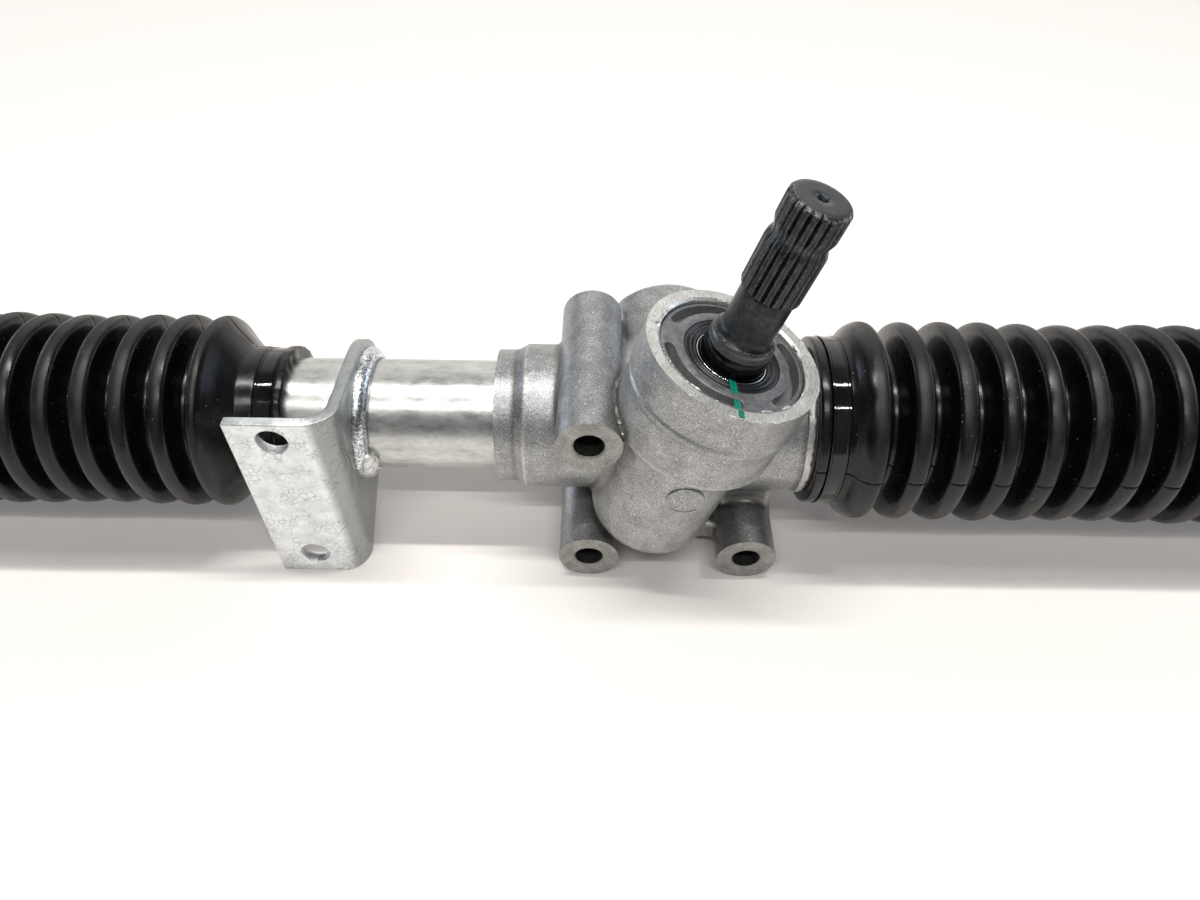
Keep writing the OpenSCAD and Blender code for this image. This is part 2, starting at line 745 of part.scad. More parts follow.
module rack_bar() {
    bar_r = rack_d / 2;
    edge = 1;
    flat_from = pinion_x + (first_space - 0.5) * pitch;
    flat_to = pinion_x + (last_space + 0.5) * pitch;
    color("#8d9196") difference() {
        on_rack(0) rotate_extrude() polygon([
            [0, -rack_left], [bar_r - edge, -rack_left], [bar_r, -rack_left + edge],
            [bar_r, rack_right - edge], [bar_r - edge, rack_right], [0, rack_right]
        ]);
        // Flat that the teeth are cut into
        translate([flat_from, -bar_r - over, rack_h - bar_r - over])
            cube([flat_to - flat_from, bar_r + over - rack_tip_y, 2 * bar_r + 2 * over]);
        for (i = [first_space:last_space])
            translate([pinion_x + i * pitch, 0, rack_h - bar_r - over])
                linear_extrude(2 * bar_r + 2 * over) rack_space();
        // Threaded holes for the ball sockets
        on_rack(0) {
            bar(stub_d / 2, -rack_left - over, -rack_left + stub_len + 2);
            bar(stub_d / 2, rack_right - stub_len - 2, rack_right + over);
        }
    }
}

// SUPPORT YOKE

module support_yoke() {
    yoke_r = yoke_d / 2;
    groove_y = yoke_back_y - 5;
    color("#d8d2c0") difference() {
        facing_back(pinion_x, 0, rack_h) difference() {
            bar(yoke_r, yoke_front_y, yoke_back_y);
            ring(yoke_r - 1.6, yoke_r + over, groove_y - 1, groove_y + 1);
            bar(spring_d / 2 + 0.5, yoke_back_y - spring_pocket, yoke_back_y + over);
        }
        on_rack(0) bar(rack_d / 2 + running_gap, -yoke_d, yoke_d);
    }
}

// O-ring that keeps the yoke from rattling
module yoke_o_ring() {
    groove_y = yoke_back_y - 5;
    color("#222426") facing_back(pinion_x, 0, rack_h)
        rotate_extrude() translate([yoke_d / 2 - 0.85, groove_y]) circle(r = 0.75);
}

// Coil spring between the yoke and its plug: rings of points swept along a helix
module yoke_spring() {
    sides = 8;
    steps = 16 * spring_turns;
    r = (spring_d - spring_wire) / 2;
    low = yoke_back_y - spring_pocket + spring_wire / 2;
    high = plug_front_y + plug_recess - spring_wire / 2;
    points = [
        for (i = [0:steps])
            for (k = [0:sides - 1])
                let (
                    a = i * 360 / 16,
                    b = k * 360 / sides,
                    out = r + spring_wire / 2 * cos(b),
                    up = low + (high - low) * i / steps + spring_wire / 2 * sin(b)
                )
                [out * cos(a), out * sin(a), up]
    ];
    faces = concat(
        [[for (k = [0:sides - 1]) k]],
        [for (i = [0:steps - 1]) for (k = [0:sides - 1])
            let (n = (k + 1) % sides, a = i * sides, b = (i + 1) * sides)
            [a + k, b + k, b + n, a + n]],
        [[for (k = [sides - 1:-1:0]) steps * sides + k]]
    );
    color("#7d8288") facing_back(pinion_x, 0, rack_h) polyhedron(points, faces, convexity = 6);
}

// Threaded plug with a hexagonal wrench hole
module yoke_plug() {
    hex_af = 14;
    color("#9aa0a5") facing_back(pinion_x, 0, rack_h) difference() {
        bar(yoke_d / 2, plug_front_y, plug_back_y);
        bar(spring_d / 2 + 0.5, plug_front_y - over, plug_front_y + plug_recess);
        translate([0, 0, plug_back_y - 4])
            cylinder(d = hex_af / cos(30), h = 4 + over, $fn = 6);
    }
}

// BALL JOINTS AND TIE RODS
// Each module below is drawn along +Z with its ball's centre at 0.

module lock_washer(side) on_rack(side > 0 ? rack_right : -rack_left, side) difference() {
    ring(stub_d / 2, socket_d / 2 - 1, 0, washer_t);
    // Two tabs are bent over the socket's flats from these notches
    for (a = [0, 180]) rotate([0, 0, a])
        translate([socket_d / 2 - 2.5, -3, -over]) cube([3, 6, washer_t + 2 * over]);
}

// Radius that a swinging rod's neck reaches at height z
function mouth_r(z) = rod_neck_d / 2 / cos(full_swing) + z * tan(full_swing) + swing_gap;

module ball_socket() {
    shoulder = -socket_reach;
    mouth = ball_joint_r - 1.7;
    outer = socket_d / 2;
    color("#6f7378") difference() {
        union() {
            rotate_extrude() polygon([
                [0, shoulder - stub_len], [stub_d / 2 - 0.8, shoulder - stub_len],
                [stub_d / 2, shoulder - stub_len + 0.8], [stub_d / 2, shoulder],
                [outer, shoulder], [outer, mouth - 4], [outer - 1.6, mouth], [0, mouth]
            ]);
        }
        sphere(r = socket_in_r);
        translate([0, 0, 2]) cylinder(r1 = mouth_r(2), r2 = mouth_r(mouth + over), h = mouth + over - 2);
        // Flats for the spanner
        for (a = [0, 180]) rotate([0, 0, a])
            translate([outer - 2, -outer, shoulder - over]) cube([3, 2 * outer, 9 + over]);
    }
}

// Plastic cup round the ball, open towards the rod
module ball_seat() {
    mouth = ball_joint_r - 3.5;
    color("#e9e6dc") difference() {
        sphere(r = seat_out_r);
        sphere(r = seat_in_r);
        translate([0, 0, mouth]) cylinder(r = seat_out_r + over, h = seat_out_r);
        bar(2.5, -seat_out_r - over, 0);
    }
}

module tie_rod() {
    neck = rod_neck_d / 2;
    rod = rod_d / 2;
    thread = thread_d / 2;
    neck_end = rod_neck_len_in;
    thread_from = rod_len - thread_len;
    color("#4a4d50") union() {
        sphere(r = ball_joint_r);
        rotate_extrude() polygon([
            [0, 0], [neck, 0], [neck, neck_end], [rod, neck_end + 6], [rod, thread_from - 2],
            [thread, thread_from], [thread, rod_len - 1.2], [thread - 1.2, rod_len], [0, rod_len]
        ]);
    }
}

module jam_nut() {
    low = rod_len - thread_len + 18;
    color("#b9bcbe") difference() {
        intersection() {
            translate([0, 0, low]) cylinder(d = jam_nut_af / cos(30), h = jam_nut_h, $fn = 6);
            // Chamfered corners
            rotate_extrude() polygon([
                [0, low], [jam_nut_af / 2, low], [jam_nut_af / 2 + 2, low + 1.2],
                [jam_nut_af / 2 + 2, low + jam_nut_h - 1.2], [jam_nut_af / 2, low + jam_nut_h], [0, low + jam_nut_h]
            ]);
        }
        bar(thread_d / 2, low - over, low + jam_nut_h + over);
    }
}

module lock_washer_left() color("#8f9499") lock_washer(-1);
module ball_socket_left() on_rack(ball_left_x, -1) ball_socket();
module ball_seat_left() on_rack(ball_left_x, -1) ball_seat();
module tie_rod_left() on_rack(ball_left_x, -1) tie_rod();
module jam_nut_left() on_rack(ball_left_x, -1) jam_nut();
module lock_washer_right() color("#8f9499") lock_washer(1);
module ball_socket_right() on_rack(ball_right_x) ball_socket();
module ball_seat_right() on_rack(ball_right_x) ball_seat();
module tie_rod_right() on_rack(ball_right_x) tie_rod();
module jam_nut_right() on_rack(ball_right_x) jam_nut();

// BOOTS

// Share of the way from valley to crest, over one convolution from t = 0 to 1
function swell(t) = pow(sin(180 * t), 0.75);

// A rubber boot drawn along +Z from its lip: neck, cone, convolutions and the rod's neck.
// inner and neck are its neck's bore and outer radius, first is the first crest's height,
// end is where the rod's neck starts.
module boot(inner, neck, crest_r, count, first, end) {
    step = (end - first) / (count - 0.5);
    bead = 1;
    groove_to = lip_w + tie_w;
    shares = [0.08, 0.22, 0.36, 0.5, 0.64, 0.78, 0.92];
    // Heights and radii from the first crest on
    waves = [
        for (i = [0:count - 1])
            for (t = shares)
                if (i > 0 || t >= 0.5)
                    [valley_r + (crest_r - valley_r) * swell(t), first + (i - 0.5 + t) * step]
    ];
    outside = concat(
        [[neck + bead - 0.6, 0], [neck + bead, 0.6], [neck + bead, lip_w], [neck, lip_w]],
        [[neck, groove_to], [neck + bead, groove_to], [neck + bead, groove_to + 1]],
        waves,
        [[rod_neck_r + 1, end + 1], [rod_neck_r, end + 3], [rod_neck_r, end + rod_groove_at - 0.2]],
        [[rod_groove_r, end + rod_groove_at], [rod_groove_r, end + rod_groove_at + tie_w + 0.2]],
        [[rod_neck_r, end + rod_groove_at + tie_w + 0.4], [rod_neck_r, end + rod_neck_len]]
    );
    rod_bore = rod_d / 2 + running_gap;
    inside = concat(
        [[inner, 0], [inner, groove_to + 1]],
        [for (p = waves) [p[0] - boot_wall, p[1]]],
        [[rod_bore, end + 1.5], [rod_bore, end + rod_neck_len]]
    );
    color("#1c1d1f") rotate_extrude()
        polygon(concat(outside, [for (i = [len(inside) - 1:-1:0]) inside[i]]));
}

// A cable tie: strap and locking head
module cable_tie(neck_r, low) color("#0f1011") {
    r = neck_r + tie_gap;
    head_low = 1.2;
    head_h = 4.6;
    head_len = 6.6;
    head_over = 0.6;
    ring(r, r + tie_t, low, low + tie_w);
    // Head, above the beads that stand on either side of the strap
    translate([r + head_low, -head_len / 2, low - head_over])
        cube([head_h - head_low, head_len, tie_w + 2 * head_over]);
    difference() {
        translate([r - 1, -head_len / 2, low]) cube([head_low + 2, head_len, tie_w]);
        bar(r, low - over, low + tie_w + over);
    }
}

left_end = -ball_left_x + rod_neck_at - boot_left_x;
right_end = ball_right_x + rod_neck_at - boot_right_x;

module boot_left() on_rack(-boot_left_x, -1)
    boot(tube_d / 2, tube_neck_r, crest_r_left, convolutions_left,
        lip_w + tie_w + 1 + cone_left, left_end);
module boot_right() on_rack(boot_right_x)
    boot(neck_d / 2, housing_neck_r, crest_r_right, convolutions_right,
        lip_w + tie_w + 1 + cone_right, right_end);
// All four heads point down
module boot_tie_left() on_rack(-boot_left_x, -1) rotate([0, 0, 180])
    cable_tie(tube_neck_r, lip_w);
module boot_tie_right() on_rack(boot_right_x) cable_tie(housing_neck_r, lip_w);
module rod_tie_left() on_rack(-boot_left_x, -1) rotate([0, 0, 180])
    cable_tie(rod_groove_r, left_end + rod_groove_at + 0.1);
module rod_tie_right() on_rack(boot_right_x) cable_tie(rod_groove_r, right_end + rod_groove_at + 0.1);

housing();
rack_tube();
rack_bush();
bracket();
bracket_weld();
pinion_shaft();
bearing_inner_ring();
bearing_balls();
bearing_cage();
bearing_outer_ring();
pinion_circlip();
pinion_nut();
pinion_seal();
pinion_bush();
rack_bar();
support_yoke();
yoke_o_ring();
yoke_spring();
yoke_plug();
lock_washer_left();
ball_socket_left();
ball_seat_left();
tie_rod_left();
jam_nut_left();
lock_washer_right();
ball_socket_right();
ball_seat_right();
tie_rod_right();
jam_nut_right();
boot_left();
boot_tie_left();
rod_tie_left();
boot_right();
boot_tie_right();
rod_tie_right();
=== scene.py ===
# %% [markdown]
# # A steering rack, dressed for its photograph
# The packed model gives every solid its place. This script gives those solids their looks: it puts
# real castings, rubber, plating and black oxide over them, and rebuilds the pieces whose charm is in
# their small shapes: fillets, splines, a weld bead, rubber folds. The frame comes first, so that each
# piece can ask it where it belongs.

# %% Load the frame
from functools import partial
from math import cos, pi, radians, sin

import bmesh
import bpy
import numpy as np
from mathutils import Matrix, Vector


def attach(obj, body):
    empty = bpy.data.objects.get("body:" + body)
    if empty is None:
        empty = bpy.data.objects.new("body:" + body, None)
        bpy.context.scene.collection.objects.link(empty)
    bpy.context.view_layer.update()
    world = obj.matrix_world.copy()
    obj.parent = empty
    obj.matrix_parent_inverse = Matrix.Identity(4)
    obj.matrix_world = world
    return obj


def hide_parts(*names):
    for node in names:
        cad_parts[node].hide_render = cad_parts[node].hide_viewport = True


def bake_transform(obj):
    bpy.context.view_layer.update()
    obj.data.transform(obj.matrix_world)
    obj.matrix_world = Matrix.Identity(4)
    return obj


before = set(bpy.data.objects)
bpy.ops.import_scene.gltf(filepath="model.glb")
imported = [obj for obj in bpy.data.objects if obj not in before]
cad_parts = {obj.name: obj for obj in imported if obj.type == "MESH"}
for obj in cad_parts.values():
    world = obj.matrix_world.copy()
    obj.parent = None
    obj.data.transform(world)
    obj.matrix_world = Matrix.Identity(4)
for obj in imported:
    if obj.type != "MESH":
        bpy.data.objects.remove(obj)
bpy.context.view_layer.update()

# %% [markdown]
# ## Sizes
# Blender works in metres and a machinist in millimetres, so lengths are written in millimetres and
# a mesh is scaled once, when it is made. Three lines carry the whole part: the rack's axis along X,
# the leaning pinion's axis, and the bolt bosses along Y. A distance along the pinion's axis is called s.

# %% Axes that everything hangs on
MM = 0.001
RACK_H = 32.0
TILT = radians(17)
PINION = np.array([0.0, -16.536, RACK_H])
LEAN = np.array([sin(TILT), 0.0, cos(TILT)])
FACE_Y, BACK_Y = -29.0, 26.0
BOSSES = [(-24.0, 0.0), (24.0, 0.0), (-24.0, 50.0)]
BRACKET_X = -92.0
RIM_S = 42.8
LIPS = {"left": 110.1, "right": 39.3}
BOOT_ENDS = {"left": 150.7, "right": 174.3}
BALLS = {"left": 190.3, "right": 143.1}


def basis(origin, along, start):
    """4x4 matrix that puts +Z along a direction, with local X as near as can be to start."""
    z = Vector(along).normalized()
    x = (Vector(start) - z * Vector(start).dot(z)).normalized()
    turn = Matrix((x, z.cross(x), z)).transposed().to_4x4()
    return Matrix.Translation(Vector(origin)) @ turn


def outwards(way, distance=0):
    """Place on the rack's axis at a distance from the middle, with +Z pointing right (1) or left (-1)."""
    return basis((0, 0, RACK_H), (way, 0, 0), (0, -1, 0)) @ Matrix.Translation((0, 0, distance))


def put(name, data):
    """An object made from data, in the scene."""
    made = bpy.data.objects.new(name, data)
    bpy.context.collection.objects.link(made)
    return made


ON_PINION = basis(PINION, LEAN, (1, 0, 0))
ON_RACK = outwards(1)
print("pinion leans", round(LEAN[0] * 100, 1), "mm to the right for every 100 mm along it")

# %% [markdown]
# ## Camera
# The photograph was taken by hand from above the front, with a wide phone lens. Its place was solved
# from circles of known size: bolt holes, boss faces and the rim of the pinion's cup. A camera looks
# along its own -Z, so its matrix is built from the view's right and up directions.

# %% Camera
DOWN, ROLL = radians(48.08), radians(0.87)
STANDPOINT = Vector((-21.08, -182.2, 219.7))
FOCAL_PIXELS, PHOTO_PIXELS, SENSOR = 869.51, 1200, 36
ahead = Vector((0, cos(DOWN), -sin(DOWN)))
level = Vector((1, 0, 0))
across = level * cos(ROLL) + level.cross(ahead) * sin(ROLL)
upward = across.cross(ahead)
camera_data = bpy.data.cameras.new("photo_camera")
camera_data.sensor_width = SENSOR
camera_data.lens = FOCAL_PIXELS / PHOTO_PIXELS * SENSOR
camera = put("photo_camera", camera_data)
camera.matrix_world = Matrix.Translation(STANDPOINT * MM) @ \
    Matrix((across, upward, -ahead)).transposed().to_4x4()
bpy.context.scene.camera = camera
print("lens", round(camera_data.lens, 2), "mm")

# %% [markdown]
# ## Nodes
# Colours are picked as sRGB hex values and turned to linear light once. One function adds any shader
# or geometry node: names with a capital letter are its inputs, the others its settings. An input may be
# a number, a hex colour or another node's socket. The rest are patterns of several nodes.

# %% Colours and nodes


def linear(hex_colour):
    """sRGB hex to the linear RGBA that shaders work in."""
    parts = [int(hex_colour[i:i + 2], 16) / 255 for i in (1, 3, 5)]
    return [v / 12.92 if v <= 0.04045 else ((v + 0.055) / 1.055) ** 2.4 for v in parts] + [1.0]


def feed(socket, value):
    """Gives an input a plain value, a hex colour or another node's output."""
    if isinstance(value, bpy.types.NodeSocket):
        socket.id_data.links.new(value, socket)
    else:
        socket.default_value = linear(value) if isinstance(value, str) else value


def add(tree, kind, *inputs, out=None, stops=(), **named):
    """Adds a node and returns its output: the one called out, or else the first in use."""
    node = tree.nodes.new(kind if "Node" in kind else "ShaderNode" + kind)
    for name, value in named.items():
        if name[0].islower():
            setattr(node, name, value)
    for socket, value in zip([s for s in node.inputs if s.enabled], inputs):
        feed(socket, value)
    for name, value in named.items():
        if name[0].isupper():
            feed(node.inputs[name], value)
    points = node.color_ramp.elements if stops else ()
    while len(points) < len(stops):
        points.new(0.5)
    for point, (place, colour) in zip(points, stops):
        point.position, point.color = place, linear(colour)
    return node.outputs[out] if out else next((s for s in node.outputs if s.enabled), None)


print("one node function, inputs by name:", add.__doc__)

# %% [markdown]
# A material is made of a few patterns: noise of a size in millimetres, coats laid over each other where
# a mask lets them, and bumps stacked on bumps. A plain one needs only two noises, one for colour and
# one for relief.

# %% Patterns that materials share


def noise(node, where, size, detail=2.0, roughness=0.5, stretch=(1, 1, 1)):
    """Noise whose features are about size millimetres across, stretched by an amount along each axis."""
    at = node("VectorMath", where, [1 / (size * s) for s in stretch], operation="MULTIPLY")
    return node("TexNoise", at, 1.0, detail, roughness)


def surface(name, **values):
    """A material, a function that adds nodes to it, its noise, and the position in millimetres."""
    made = bpy.data.materials.new(name)
    made.use_nodes = True
    for socket, value in values.items():
        feed(made.node_tree.nodes["Principled BSDF"].inputs[socket], value)
    node = partial(add, made.node_tree)
    where = node("VectorMath", node("TexCoord", out="Object"), (1000, 1000, 1000), operation="MULTIPLY")
    return made, node, partial(noise, node, where), where


def coat(node, skin, mask, amount, colour):
    """Lays a colour over the skin where the mask is, by an amount."""
    share = node("Math", mask, amount, operation="MULTIPLY")
    return node("Mix", share, skin, colour, data_type="RGBA")


def from_pinion(node, where):
    """How far along the pinion's axis a point is, and how far from the axis's origin."""
    apart = node("VectorMath", where, tuple(PINION), operation="SUBTRACT")
    along = node("VectorMath", apart, tuple(LEAN), operation="DOT_PRODUCT")
    return along, node("VectorMath", apart, operation="LENGTH")


def dress(material, colour, *bumps, rough=None):
    """Links colour, roughness (pattern, low, high) and bumps (pattern, depth in millimetres), one on the other."""
    tree = material.node_tree
    inputs = tree.nodes["Principled BSDF"].inputs
    feed(inputs["Base Color"], colour)
    if isinstance(rough, tuple):
        rough = add(tree, "MapRange", rough[0], 0.3, 0.7, *rough[1:])
    if rough:
        feed(inputs["Roughness"], rough)
    under = {}
    for height, depth in bumps:
        under = {"Normal": add(tree, "Bump", Height=height, Distance=depth * MM, **under)}
    feed(inputs["Normal"], under["Normal"])


def plain(name, pattern, stops, relief, depth, rough=None, **values):
    """A material with colours over one noise and relief from another. Without relief one serves both."""
    made, node, grain, where = surface(name, **values)
    tone = grain(*pattern)
    height = grain(*relief) if relief else tone
    dress(made, node("ValToRGB", tone, stops=stops), (height, depth), rough=rough and (tone, *rough))
    return made


print("patterns:", [f.__name__ for f in (noise, surface, coat, from_pinion, dress, plain)])

# %% [markdown]
# ## Floor and light
# The rack lies on white board under two long ceiling lamps. One hangs almost straight above it and
# one in front, about 62 degrees up, so the tube drops two crisp shadows and shows one broad white band.
# Glossy nylon shows both lamps as thin lines. The room is dim towards the camera and bright behind, and
# it lets in cool daylight from behind on both sides, which rims the rubber folds.

# %% Floor and lamps
FLOOR_Z, FLOOR_HALF = -9.05, 3
LAMP_SIZE = (1.5, 0.05)
board = bpy.data.meshes.new("white_board")
corners = [(x * FLOOR_HALF, y * FLOOR_HALF, FLOOR_Z * MM) for x, y in ((-1, -1), (1, -1), (1, 1), (-1, 1))]
board.from_pydata(corners, [], [(0, 1, 2, 3)])
floor = put("white_board", board)
board_paint, node, grain, where = surface("matt_white_board", Roughness=0.8)
dress(board_paint, "#f9f4ef", (grain(1.5, 3), 0.05))
board.materials.append(board_paint)


def lamp(name, elevation, away, watts):
    """A ceiling lamp that lies along X. Its elevation is in degrees up from the front, away in metres."""
    data = bpy.data.lights.new(name, "AREA")
    data.shape = "RECTANGLE"
    data.size, data.size_y = LAMP_SIZE
    data.energy = watts
    data.color = linear("#fffefc")[:3]
    light = put(name, data)
    turn = radians(elevation)
    light.location = (0, -away * cos(turn), away * sin(turn))
    light.rotation_euler = (radians(elevation - 90), 0, 0)


lamp("upper_lamp", 93, 1.5, 18.4)
lamp("front_lamp", 62, 1.8, 19.2)

# %% Room
world = bpy.data.worlds.new("dim_room")
bpy.context.scene.world = world
world.use_nodes = True
node = partial(add, world.node_tree)
facing = node("SeparateXYZ", node("TexCoord", out="Generated")).node.outputs
room = node("ValToRGB", node("MapRange", facing["Y"], -0.9, 0.9),
            stops=[(0.0, "#7f8083"), (0.5, "#a9a9a9"), (1.0, "#e9e7e4")])
aside = node("Math", facing["X"], operation="ABSOLUTE")
room = coat(node, room, node("MapRange", aside, 0.35, 0.6), 0.8, "#2b2c2e")
level = node("Math", facing["Z"], operation="ABSOLUTE")
windows = node("MapRange", aside, 0.68, 0.86)
for mask in (node("MapRange", level, 0.15, 0.48, 1, 0), node("MapRange", facing["Y"], -0.1, 0.2)):
    windows = node("Math", windows, mask, operation="MULTIPLY")
behind = node("MapRange", facing["Y"], 0.2, 0.7, 1.0, 1.42)
strength = node("Math", windows, 3.2, behind, operation="MULTIPLY_ADD")
ceiling = node("MapRange", facing["Z"], 0.76, 0.86, 1.0, 0.35)
background = world.node_tree.nodes["Background"].inputs
feed(background["Color"], node("Mix", windows, room, "#d3e2f9", data_type="RGBA"))
feed(background["Strength"], node("Math", strength, ceiling, operation="MULTIPLY"))
bpy.context.scene.view_settings.view_transform = "Standard"
print("room:", world.name, "with", len(world.node_tree.nodes), "nodes")

# %% [markdown]
# ## Metals
# Cast aluminium that has been blasted is pale, matt and speckled: the grit leaves pits a few tenths of
# a millimetre wide. Edges that were rubbed in handling shine, and the hollows are darkened with painted
# shade. The mesh carries two numbers for that, one for the worn edges and one for the painted shade,
# which are measured from its own curvature further down. A bump round the cup stands for the step that
# the two dies leave where they meet.

# %% Cast aluminium
# Die-cast aluminium, blasted: pale, matt and speckled. Real pits are under 0.2 mm wide, too fine to show
# in the picture, so they are drawn 0.4 mm wide
cast, node, grain, where = surface("blasted_cast_aluminium", Metallic=0.9, Roughness=0.42)
grit, cloud = grain(0.4, 3, 0.65), grain(5, 3)
skin = node("ValToRGB", node("Mix", 0.75, cloud, grit),
            stops=[(0.36, "#797a7b"), (0.5, "#9b9c9c"), (0.62, "#bdbebe")])
skin = coat(node, skin, node("MapRange", grain(0.8, 1), 0.68, 0.74), 0.5, "#ececea")
scratches = node("MapRange", grain(0.5, 2, stretch=(0.5, 5, 5)), 0.66, 0.72)
skin = coat(node, skin, scratches, node("MapRange", cloud, 0.5, 0.6, 0, 0.6), "#f0f0ee")
# Painted shade: the hollows of the casting are darkened, as shade would fall in them
skin = coat(node, skin, node("Attribute", attribute_name="hollow", out="Fac"), 0.75, "#6f6c67")
skin = coat(node, skin, node("Attribute", attribute_name="worn", out="Fac"), 0.7, "#dcdcda")
along, reach = from_pinion(node, where)
step = node("MapRange", along, 27.85, 28.15)
step = node("Math", step, node("MapRange", reach, 38, 39, 1, 0), operation="MULTIPLY")
dress(cast, skin, (grain(2.6, 2), 0.09), (grit, 0.075), (step, 0.45), rough=(grit, 0.33, 0.5))
print("cast:", cast.name, "with", len(cast.node_tree.nodes), "nodes")

# %% [markdown]
# Where a cutter has been, the same aluminium is brighter and shows the tool's fine parallel lines.
# Plated steel differs between tube and sheet: the drawn tube is nearly mirror bright with faint rings,
# and the bracket's sheet has the cloudy bloom and the dark scuffs of a part tumbled with others.

# %% Machined aluminium
# Milled aluminium: bright, with the cutter's lines, which are drawn 0.5 mm apart for real ones of 0.1 mm
machined, node, grain, where = surface("milled_aluminium", Metallic=0.65, Roughness=0.34)
lines = grain(0.5, 2, stretch=(0.5, 3, 3))
skin = node("ValToRGB", node("Mix", 0.6, grain(4, 2), lines),
            stops=[(0.35, "#b9b8b4"), (0.5, "#d0cfcb"), (0.65, "#e6e5e1")])
dress(machined, skin, (lines, 0.06), rough=(lines, 0.25, 0.45))

# Spot-faced aluminium: a greyer, duller copy of the milled finish; the grey is painted shade for the boss faces, which
# face the front, away from the lamps
spot_face_shaded, node, grain, where = surface("faced_aluminium_painted_shade", Metallic=0.45, Roughness=0.55)
lines = grain(0.6, 3, 0.6)
skin = node("ValToRGB", node("Mix", 0.5, grain(4, 3), lines),
            stops=[(0.36, "#7d7d78"), (0.5, "#9a9a95"), (0.64, "#b4b4af")])
dress(spot_face_shaded, skin, (lines, 0.07), rough=(lines, 0.45, 0.65))

# Drilled aluminium: dark and oily, because little light gets into the bores
drilled = plain("drilled_aluminium", (1.2, 3), [(0.35, "#2c2b29"), (0.65, "#4b4a47")],
                (0.5, 2, 0.5, (3, 0.6, 3)), 0.04, Metallic=0.5, Roughness=0.5)
print("aluminium:", cast.name, machined.name, spot_face_shaded.name, drilled.name)

# %% Plated steel
# Zinc on drawn steel: almost a mirror. Drawing lines finer than 0.1 mm are drawn 0.35 mm wide to show
tube_zinc, node, grain, where = surface("zinc_plated_drawn_tube", Metallic=1.0, Roughness=0.3)
cloud = grain(3.5, 5, 0.7, (2.2, 1, 1))
skin = node("ValToRGB", cloud, stops=[(0.32, "#a9aaa6"), (0.5, "#c2c4c0"), (0.68, "#d3d4d0")])
skin = coat(node, skin, node("MapRange", grain(0.9, 3, 0.6, (1.8, 1, 1)), 0.6, 0.72), 0.4, "#8b8b84")
dress(tube_zinc, skin, (grain(0.35, 2, stretch=(0.6, 8, 8)), 0.012), (grain(0.9, 3), 0.016),
      rough=(cloud, 0.26, 0.38))

# Zinc on sheet steel: cloudy, crackled and scuffed. The flange by the weld is painted grey: painted shade, as it turns
# away from the lamps
sheet_zinc, node, grain, where = surface("zinc_plated_sheet", Metallic=0.75, Roughness=0.36)
bloom = grain(6, 5, 0.65)
skin = node("ValToRGB", bloom, stops=[(0.32, "#d4d8d9"), (0.48, "#e6eaeb"), (0.6, "#f4f7f7"), (0.72, "#dce0e1")])
warped = node("VectorMath", where, grain(1.4, 3), operation="ADD")
veins = node("MapRange", node("TexVoronoi", warped, 0.55, feature="DISTANCE_TO_EDGE"), 0.0, 0.09, 1, 0)
skin = coat(node, skin, veins, node("MapRange", grain(5, 3), 0.43, 0.57, 0, 0.6), "#85888a")
scuffs = node("MapRange", grain(0.9, 4, 0.75, (0.7, 1, 1.8)), 0.6, 0.67)
skin = coat(node, skin, scuffs, node("MapRange", grain(7, 2), 0.45, 0.6, 0.15, 0.8), "#6f7173")
# Painted shade: the flange, right of x = -95.5 mm, is darkened grey
flange_painted_shade = node("MapRange", node("SeparateXYZ", where), -98, -95.5)
skin = coat(node, skin, flange_painted_shade, 0.7, "#777978")
dress(sheet_zinc, skin, (grain(0.8, 4, 0.65), 0.05), rough=(bloom, 0.3, 0.48))
print("plated:", tube_zinc.name, sheet_zinc.name)

# %% [markdown]
# Black oxide is a thin film: it wears to grey steel on edges, and where the number worn passes 1 it is
# gone altogether. The nut's phosphate is a matt grey crystal coat; the floors of its slots are painted paler, a
# painted highlight for the light they reflect.

# %% Weld and black oxide
# Arc weld: as bright as a mirror, broken up by its ripples
weld_metal = plain("arc_weld_bead_steel", (0.8, 3), [(0.36, "#8a8e92"), (0.5, "#c6cbcf"), (0.62, "#f4f6f8")],
                   (0.55, 2, 0.6), 0.14, Metallic=1.0, Roughness=0.17)
# The drop that froze last: whitish and rough
frozen = plain("frozen_weld_drop_steel", (1.2, 3), [(0.35, "#c6c6c3"), (0.5, "#e6e6e3"), (0.65, "#f8f8f6")],
               (1.0, 3), 0.2, Metallic=0.6, Roughness=0.45)

# Black oxide on steel: a satin blue-black film with pale rubbed spots
black_oxide, node, grain, where = surface("black_oxide_steel", Metallic=0.6, Roughness=0.34)
film = grain(2.5, 4, 0.6)
skin = node("ValToRGB", film, stops=[(0.32, "#191a1c"), (0.55, "#2d3033"), (0.75, "#44484c")])
worn = node("Attribute", attribute_name="worn", out="Fac")
bare = node("MapRange", worn, 1.02, 2.0)
rub = node("Math", worn, node("MapRange", grain(0.7, 3), 0.4, 0.6), operation="MULTIPLY")
skin = coat(node, skin, rub, node("MapRange", bare, 0.0, 0.05, 0.85, 0.0), "#a3a29c")
skin = coat(node, skin, bare, 1.0, "#76787b")
skin = coat(node, skin, node("MapRange", grain(0.45, 1), 0.73, 0.77), 0.5, "#8f8f8c")
dull = node("MapRange", film, 0.3, 0.7, 0.27, 0.42)
dull = node("Math", bare, -0.1, dull, operation="MULTIPLY_ADD")
dress(black_oxide, skin, (grain(0.6, 3), 0.02), rough=dull)

print("welded and blackened:", weld_metal.name, frozen.name, black_oxide.name)

